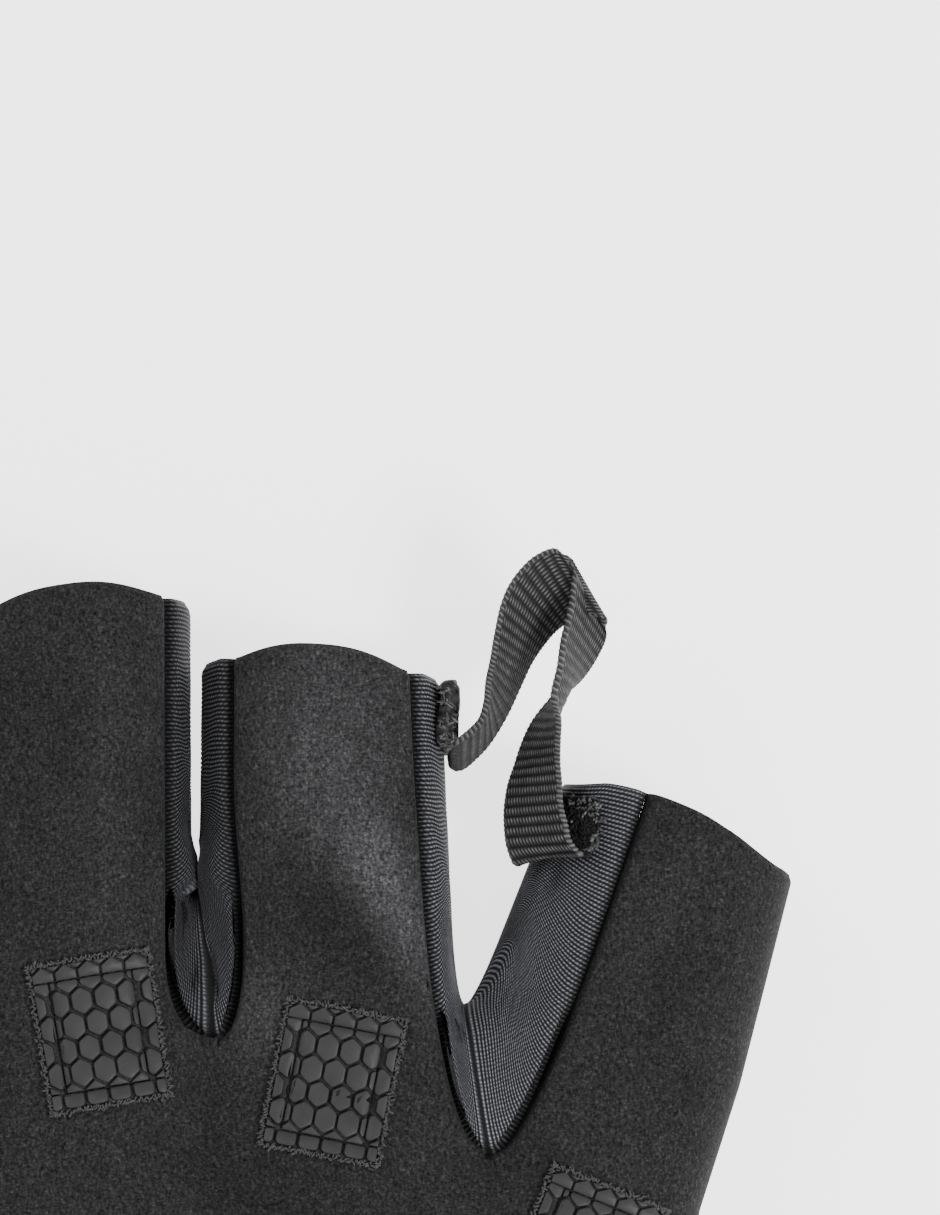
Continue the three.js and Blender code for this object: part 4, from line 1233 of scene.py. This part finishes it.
def seat(verts, point, normal, ahead, turn=0.0):
    """Moves what is modelled round the origin to a point of a surface."""
    ahead = ahead - normal * (ahead @ normal)
    ahead = ahead / np.linalg.norm(ahead)
    side = np.cross(ahead, normal)
    c, s = math.cos(turn), math.sin(turn)
    axes = np.array([c * side + s * ahead, c * ahead - s * side, normal])
    moved = np.array([v.co for v in verts]) @ axes + point
    for vert, place in zip(verts, moved.tolist()):
        vert.co = place


# %% Loop ends
def stitch_on_loop(threads, at, share, lift, turn, length, thick):
    near, across, _, out = loop_frame(np.array(at))
    point = loop_surface(np.array(at), np.array(share), np.array(EDGE_RADIUS + lift))
    seat(threads.stitch(length, thick), point, out, np.cross(across, out), turn)


TACKED_ROWS, TACKED_SHARES = (28.9, 33), (0, 0.62)  # the part of the loop under the stitches
rng = np.random.default_rng(5)
bar_tack, frayed, knots = Threads(), Threads(), Threads()
for k in range(200):
    at, share = rng.uniform(*TACKED_ROWS), rng.uniform(*TACKED_SHARES)
    stitch_on_loop(bar_tack, at, share, rng.uniform(-0.1, 0.2), rng.normal(1.2, 0.7),
                   rng.uniform(0.8, 1.5), 0.3)
for k in range(110):
    if k % 3:
        at, share = rng.uniform(28.6, 33), rng.normal(0.0, 0.035)
    else:
        at, share = rng.normal(32.6, 0.3), rng.uniform(0, 0.35)
    threads = knots if k % 4 == 0 else frayed
    stitch_on_loop(threads, at, share, rng.uniform(0, 0.35), rng.uniform(0, 3.1),
                   rng.uniform(0.35, 0.75), rng.uniform(0.24, 0.36))

# The end at the ring finger is a folded pad, between the knit and the loop.
END_PAD = (12.75, 34.3, 9.9)
END_SIZE = (2.1, 7.4, 8.6)
pad = bmesh.new()
bmesh.ops.create_cube(pad, size=1)
bmesh.ops.scale(pad, vec=END_SIZE, verts=pad.verts)
bmesh.ops.bevel(
    pad, geom=pad.edges, offset=1.0, segments=5, profile=0.5, affect="EDGES", material=-1
)
long_edges = [e for e in pad.edges if e.calc_length() > 1.5]
bmesh.ops.subdivide_edges(pad, edges=long_edges, cuts=15, use_grid_fill=True)
lift_layer = pad.verts.layers.float.new("lift")
for v in pad.verts:
    weave_row = abs(math.sin(math.pi * v.co.y / WEAVE_ROW)) ** 0.5
    v[lift_layer] = weave_row * (0.3 + 0.5 * abs(math.sin(math.pi * v.co.z / FLOAT_WIDTH)))
    v.co.x += 0.25 * math.sin(0.8 * v.co.y) + 0.1 * weave_row
bmesh.ops.translate(pad, vec=END_PAD, verts=pad.verts)
finished(pad, "pull_loop_folded_end", webbing_weave)
for k in range(130):
    y, z = rng.uniform(-3.5, 2.9), rng.uniform(-1, 4.1)
    top = k % 3 == 0
    if top:
        offset = (rng.uniform(-0.8, 0.9), y, END_SIZE[2] / 2)
    else:
        offset = (END_SIZE[0] / 2 + 0.05, y, z)
    normal = np.array((0.1, 0, 1) if top else (1, 0, 0.1))
    threads = knots if k % 12 == 0 else frayed if k % 3 == 0 else bar_tack
    seat(threads.stitch(rng.uniform(0.5, 1.2), 0.26), np.array(END_PAD) + offset,
         normal / np.linalg.norm(normal), np.array((0.0, 1, 0)), rng.normal(1.2, 0.6))
bar_tack.piece("loop_bar_tacks", dark_thread, "webbing")
frayed.piece("loop_frayed_threads", edge_thread, "webbing")
knots.piece("loop_thread_knots", pale_thread, "webbing")

# %% [markdown]
# ### Grip patches
# Each patch is a sheet with small rubber hexagons printed on it. Its raw edge is a fringe
# of short frayed threads. A line of stitches runs a little further in, and parts each pad
# that it crosses into two flatter ones. A hexagon is a six-sided disc, cut by these lines,
# bevelled and drawn up. Every piece of a patch is dropped on to the palm's mesh, so that it
# follows the cloth.

# %% Patch helpers
HEX_PITCH, HEX_ROW, PAD_GAP, PAD_HEIGHT = 2.4, 2.5, 0.26, 0.5
PAD_EDGE = 0.5  # from the patch's edge to the outermost pads
PATCH_WIDTH, PATCH_LENGTH = 12.8, 16
SEWN_IN, THREAD_GAP = 2.1, 0.08  # the inner line of stitches from the edge, its half width
FRINGE_STEP, STITCH_STEP = 0.17, 1.2
SHEET_LIFT, PAD_LIFT, STITCH_LIFT = 0.25, 0.18, 0.26  # above the palm
# middle of the top edge x, y, and turn to the right
PATCHES = {
    "index": (-51.5, 3.2, -13),
    "middle": (-24.9, 8.3, -10),
    "ring": (2.4, 3.0, 11),
    "little": (29.8, -15.5, 22),
}


class Patch:
    def __init__(self, x, y, turn):
        self.origin = np.array([x, y])
        a = math.radians(-turn)
        self.right = np.array([math.cos(a), math.sin(a)])
        self.up = np.array([-math.sin(a), math.cos(a)])

    def ground(self, u, v):
        """The palm's surface point and normal under a place on the patch."""
        x, y = self.origin + u * self.right + v * self.up
        point, normal, _, _ = palm_tree.ray_cast(Vector((x, y, 60)), Vector((0, 0, -1)))
        return np.array(point), np.array(normal)

    def at(self, u, v, lift):
        point, normal = self.ground(u, v)
        return point + normal * lift

    def seat_each(self, verts, lift):
        """Lays verts, modelled at their own u and v, over the patch."""
        for w in verts:
            w.co = self.at(w.co.x, w.co.y, lift + w.co.z)

    def seat(self, verts, u, v, lift, turn=0.0):
        """Seats verts, modelled round the origin, on the patch."""
        point, normal = self.ground(u, v)
        seat(verts, point + normal * lift, normal, np.array([*self.up, 0.0]), turn)


def pad_outline(bm, u, v, lines):
    """A tall hexagon at u, v, cut to what lies inside the lines, or None."""
    wide, long = HEX_PITCH - PAD_GAP, HEX_ROW / 0.75 - PAD_GAP * 1.2
    corners = bmesh.ops.create_circle(bm, cap_ends=True, segments=6, radius=1)["verts"]
    for w in corners:
        w.co = (u + w.co.x * wide / math.sqrt(3), v + w.co.y * long / 2, 0)
    face = corners[0].link_faces[0]
    for (x, y), (nx, ny) in lines:
        inside = [(w.co.x - x) * nx + (w.co.y - y) * ny for w in face.verts]
        if max(inside) < 0.35:
            bmesh.ops.delete(bm, geom=list(face.verts), context="VERTS")
            return None
        if min(inside) < 0:
            geom = [face, *face.edges, *face.verts]
            cut = bmesh.ops.bisect_plane(bm, geom=geom, dist=0.0001, plane_co=(x, y, 0),
                                         plane_no=(nx, ny, 0), clear_inner=True)["geom"]
            face = next(f for f in cut if isinstance(f, bmesh.types.BMFace))
    return face


def raised(bm, face, high):
    """Draws an outline up into a pad with blunt corners and a soft rim."""
    made = bmesh.ops.bevel(bm, geom=list(face.verts), offset=0.16, segments=1, profile=0.5,
                           affect="VERTICES", material=-1, clamp_overlap=True)
    verts = list(made["verts"])
    face = max(verts[0].link_faces, key=lambda f: f.calc_area())
    for up, size in ((0.65, 1.0), (0.93, 0.96), (1.0, 0.88)):
        made = bmesh.ops.extrude_face_region(bm, geom=[face])["geom"]
        face = next(f for f in made if isinstance(f, bmesh.types.BMFace))
        middle = face.calc_center_median()
        for w in face.verts:
            away_x, away_y = w.co.x - middle.x, w.co.y - middle.y
            w.co = (middle.x + away_x * size, middle.y + away_y * size, up * high)
        verts += list(face.verts)
    centre = bmesh.ops.poke(bm, faces=[face])["verts"]
    for w in centre:
        w.co.z = 1.08 * high
    return verts + centre


# %% Patches
def border(u, v):
    """Distance inside the nearest edge of a patch."""
    return min(PATCH_WIDTH / 2 - abs(u), -v, PATCH_LENGTH + v)


def edge_lines(inside, sides=range(4)):
    """A point and the inward direction of each side of a patch, moved in by a distance."""
    ways = [(0, -1), (-1, 0), (0, 1), (1, 0)]
    points = [(0, -inside), (PATCH_WIDTH / 2 - inside, 0), (0, inside - PATCH_LENGTH),
              (inside - PATCH_WIDTH / 2, 0)]
    return [(points[k], ways[k]) for k in sides]


def outer_strips():
    """The four strips between the edge and the inner line of stitches, as lines."""
    strips = []
    for side in range(4):
        (x, y), (nx, ny) = edge_lines(SEWN_IN - THREAD_GAP)[side]
        strips.append(edge_lines(PAD_EDGE) + [((x, y), (-nx, -ny))])
        if side in (1, 3):
            strips[-1] += edge_lines(SEWN_IN + THREAD_GAP, (0, 2))
    return strips


def grip_patch(name, place, seed):
    rng = np.random.default_rng(seed)
    patch = Patch(*place)
    base = Cloth()
    us, vs = np.linspace(-0.5, 0.5, 53), np.linspace(0, -1, 65)

    def surface(u, v):
        places = zip(u.flat, v.flat)
        laid = [patch.at(a * PATCH_WIDTH, b * PATCH_LENGTH, SHEET_LIFT) for a, b in places]
        return np.array(laid).reshape(*u.shape, 3)

    def shaped(point, *edges):
        edge = np.minimum.reduce(edges)
        rough = rng.normal(0, 0.02, edge.shape)
        return roll(edge, 0.3, 0.3) + roll(edge - SEWN_IN, 0.3, 0.3) + rough, edge + NO_PAINTED_SHADE

    base.lay(us, vs, surface, shaped, flip=True)
    base.sew()
    finished(base.bm, "grip_sheet_" + name, grip_base, ["grip_patch_" + name], 0.35)

    # A pad on the inner line of stitches is parted by it into two smaller, flatter ones.
    pads = bmesh.new()
    for i in range(-3, 4):
        for j in range(-1, 8):
            u, v = (i + (j % 2) / 2) * HEX_PITCH, -2.0 - j * HEX_ROW
            for lines in [edge_lines(SEWN_IN + THREAD_GAP)] + outer_strips():
                face = pad_outline(pads, u, v, lines)
                if face is None:
                    continue
                verts = raised(pads, face, PAD_HEIGHT)
                for w in verts:
                    near_line = math.exp(-(((border(w.co.x, w.co.y) - SEWN_IN) / 0.4) ** 2))
                    w.co.z *= 1 - 0.6 * near_line
                patch.seat_each(verts, PAD_LIFT)
    bmesh.ops.recalc_face_normals(pads, faces=pads.faces)
    finished(pads, "grip_pads_" + name, grip_rubber)

    fringe, inner_line = Threads(), Threads()
    for side in range(4):
        way = np.array([(1, 0), (0, -1), (-1, 0), (0, 1)][side])
        length = PATCH_LENGTH if side % 2 else PATCH_WIDTH
        corner = np.array([(-0.5, 0), (0.5, 0), (0.5, -1), (-0.5, -1)][side])
        start = corner * (PATCH_WIDTH, PATCH_LENGTH)
        inward = np.array([way[1], -way[0]])
        lean = math.atan2(way[1], way[0])
        for k in range(int(length / FRINGE_STEP)):
            spot = start + way * (k + 0.5) * FRINGE_STEP + inward * rng.normal(0.22, 0.15)
            verts = fringe.stitch(rng.uniform(0.45, 0.85), rng.uniform(0.18, 0.3))
            patch.seat(verts, *spot, rng.uniform(0.28, 0.5), lean + rng.normal(0, 0.9))
        for k in range(int((length - 2 * SEWN_IN) / STITCH_STEP)):
            spot = start + way * (SEWN_IN + (k + 0.5) * STITCH_STEP)
            spot = spot + inward * (SEWN_IN + rng.normal(0, 0.09))
            verts = inner_line.stitch(1.0, 0.17)
            patch.seat(verts, *spot, STITCH_LIFT, lean - math.pi / 2 + rng.normal(0, 0.12))
    fringe.piece("grip_frayed_edge_" + name, edge_thread, "grip")
    inner_line.piece("grip_stitches_" + name, dark_thread, "grip")


grip_base = thread("patch_cloth", 0.009, 0.04)
for number, (name, place) in enumerate(PATCHES.items()):
    grip_patch(name, place, 10 + number)
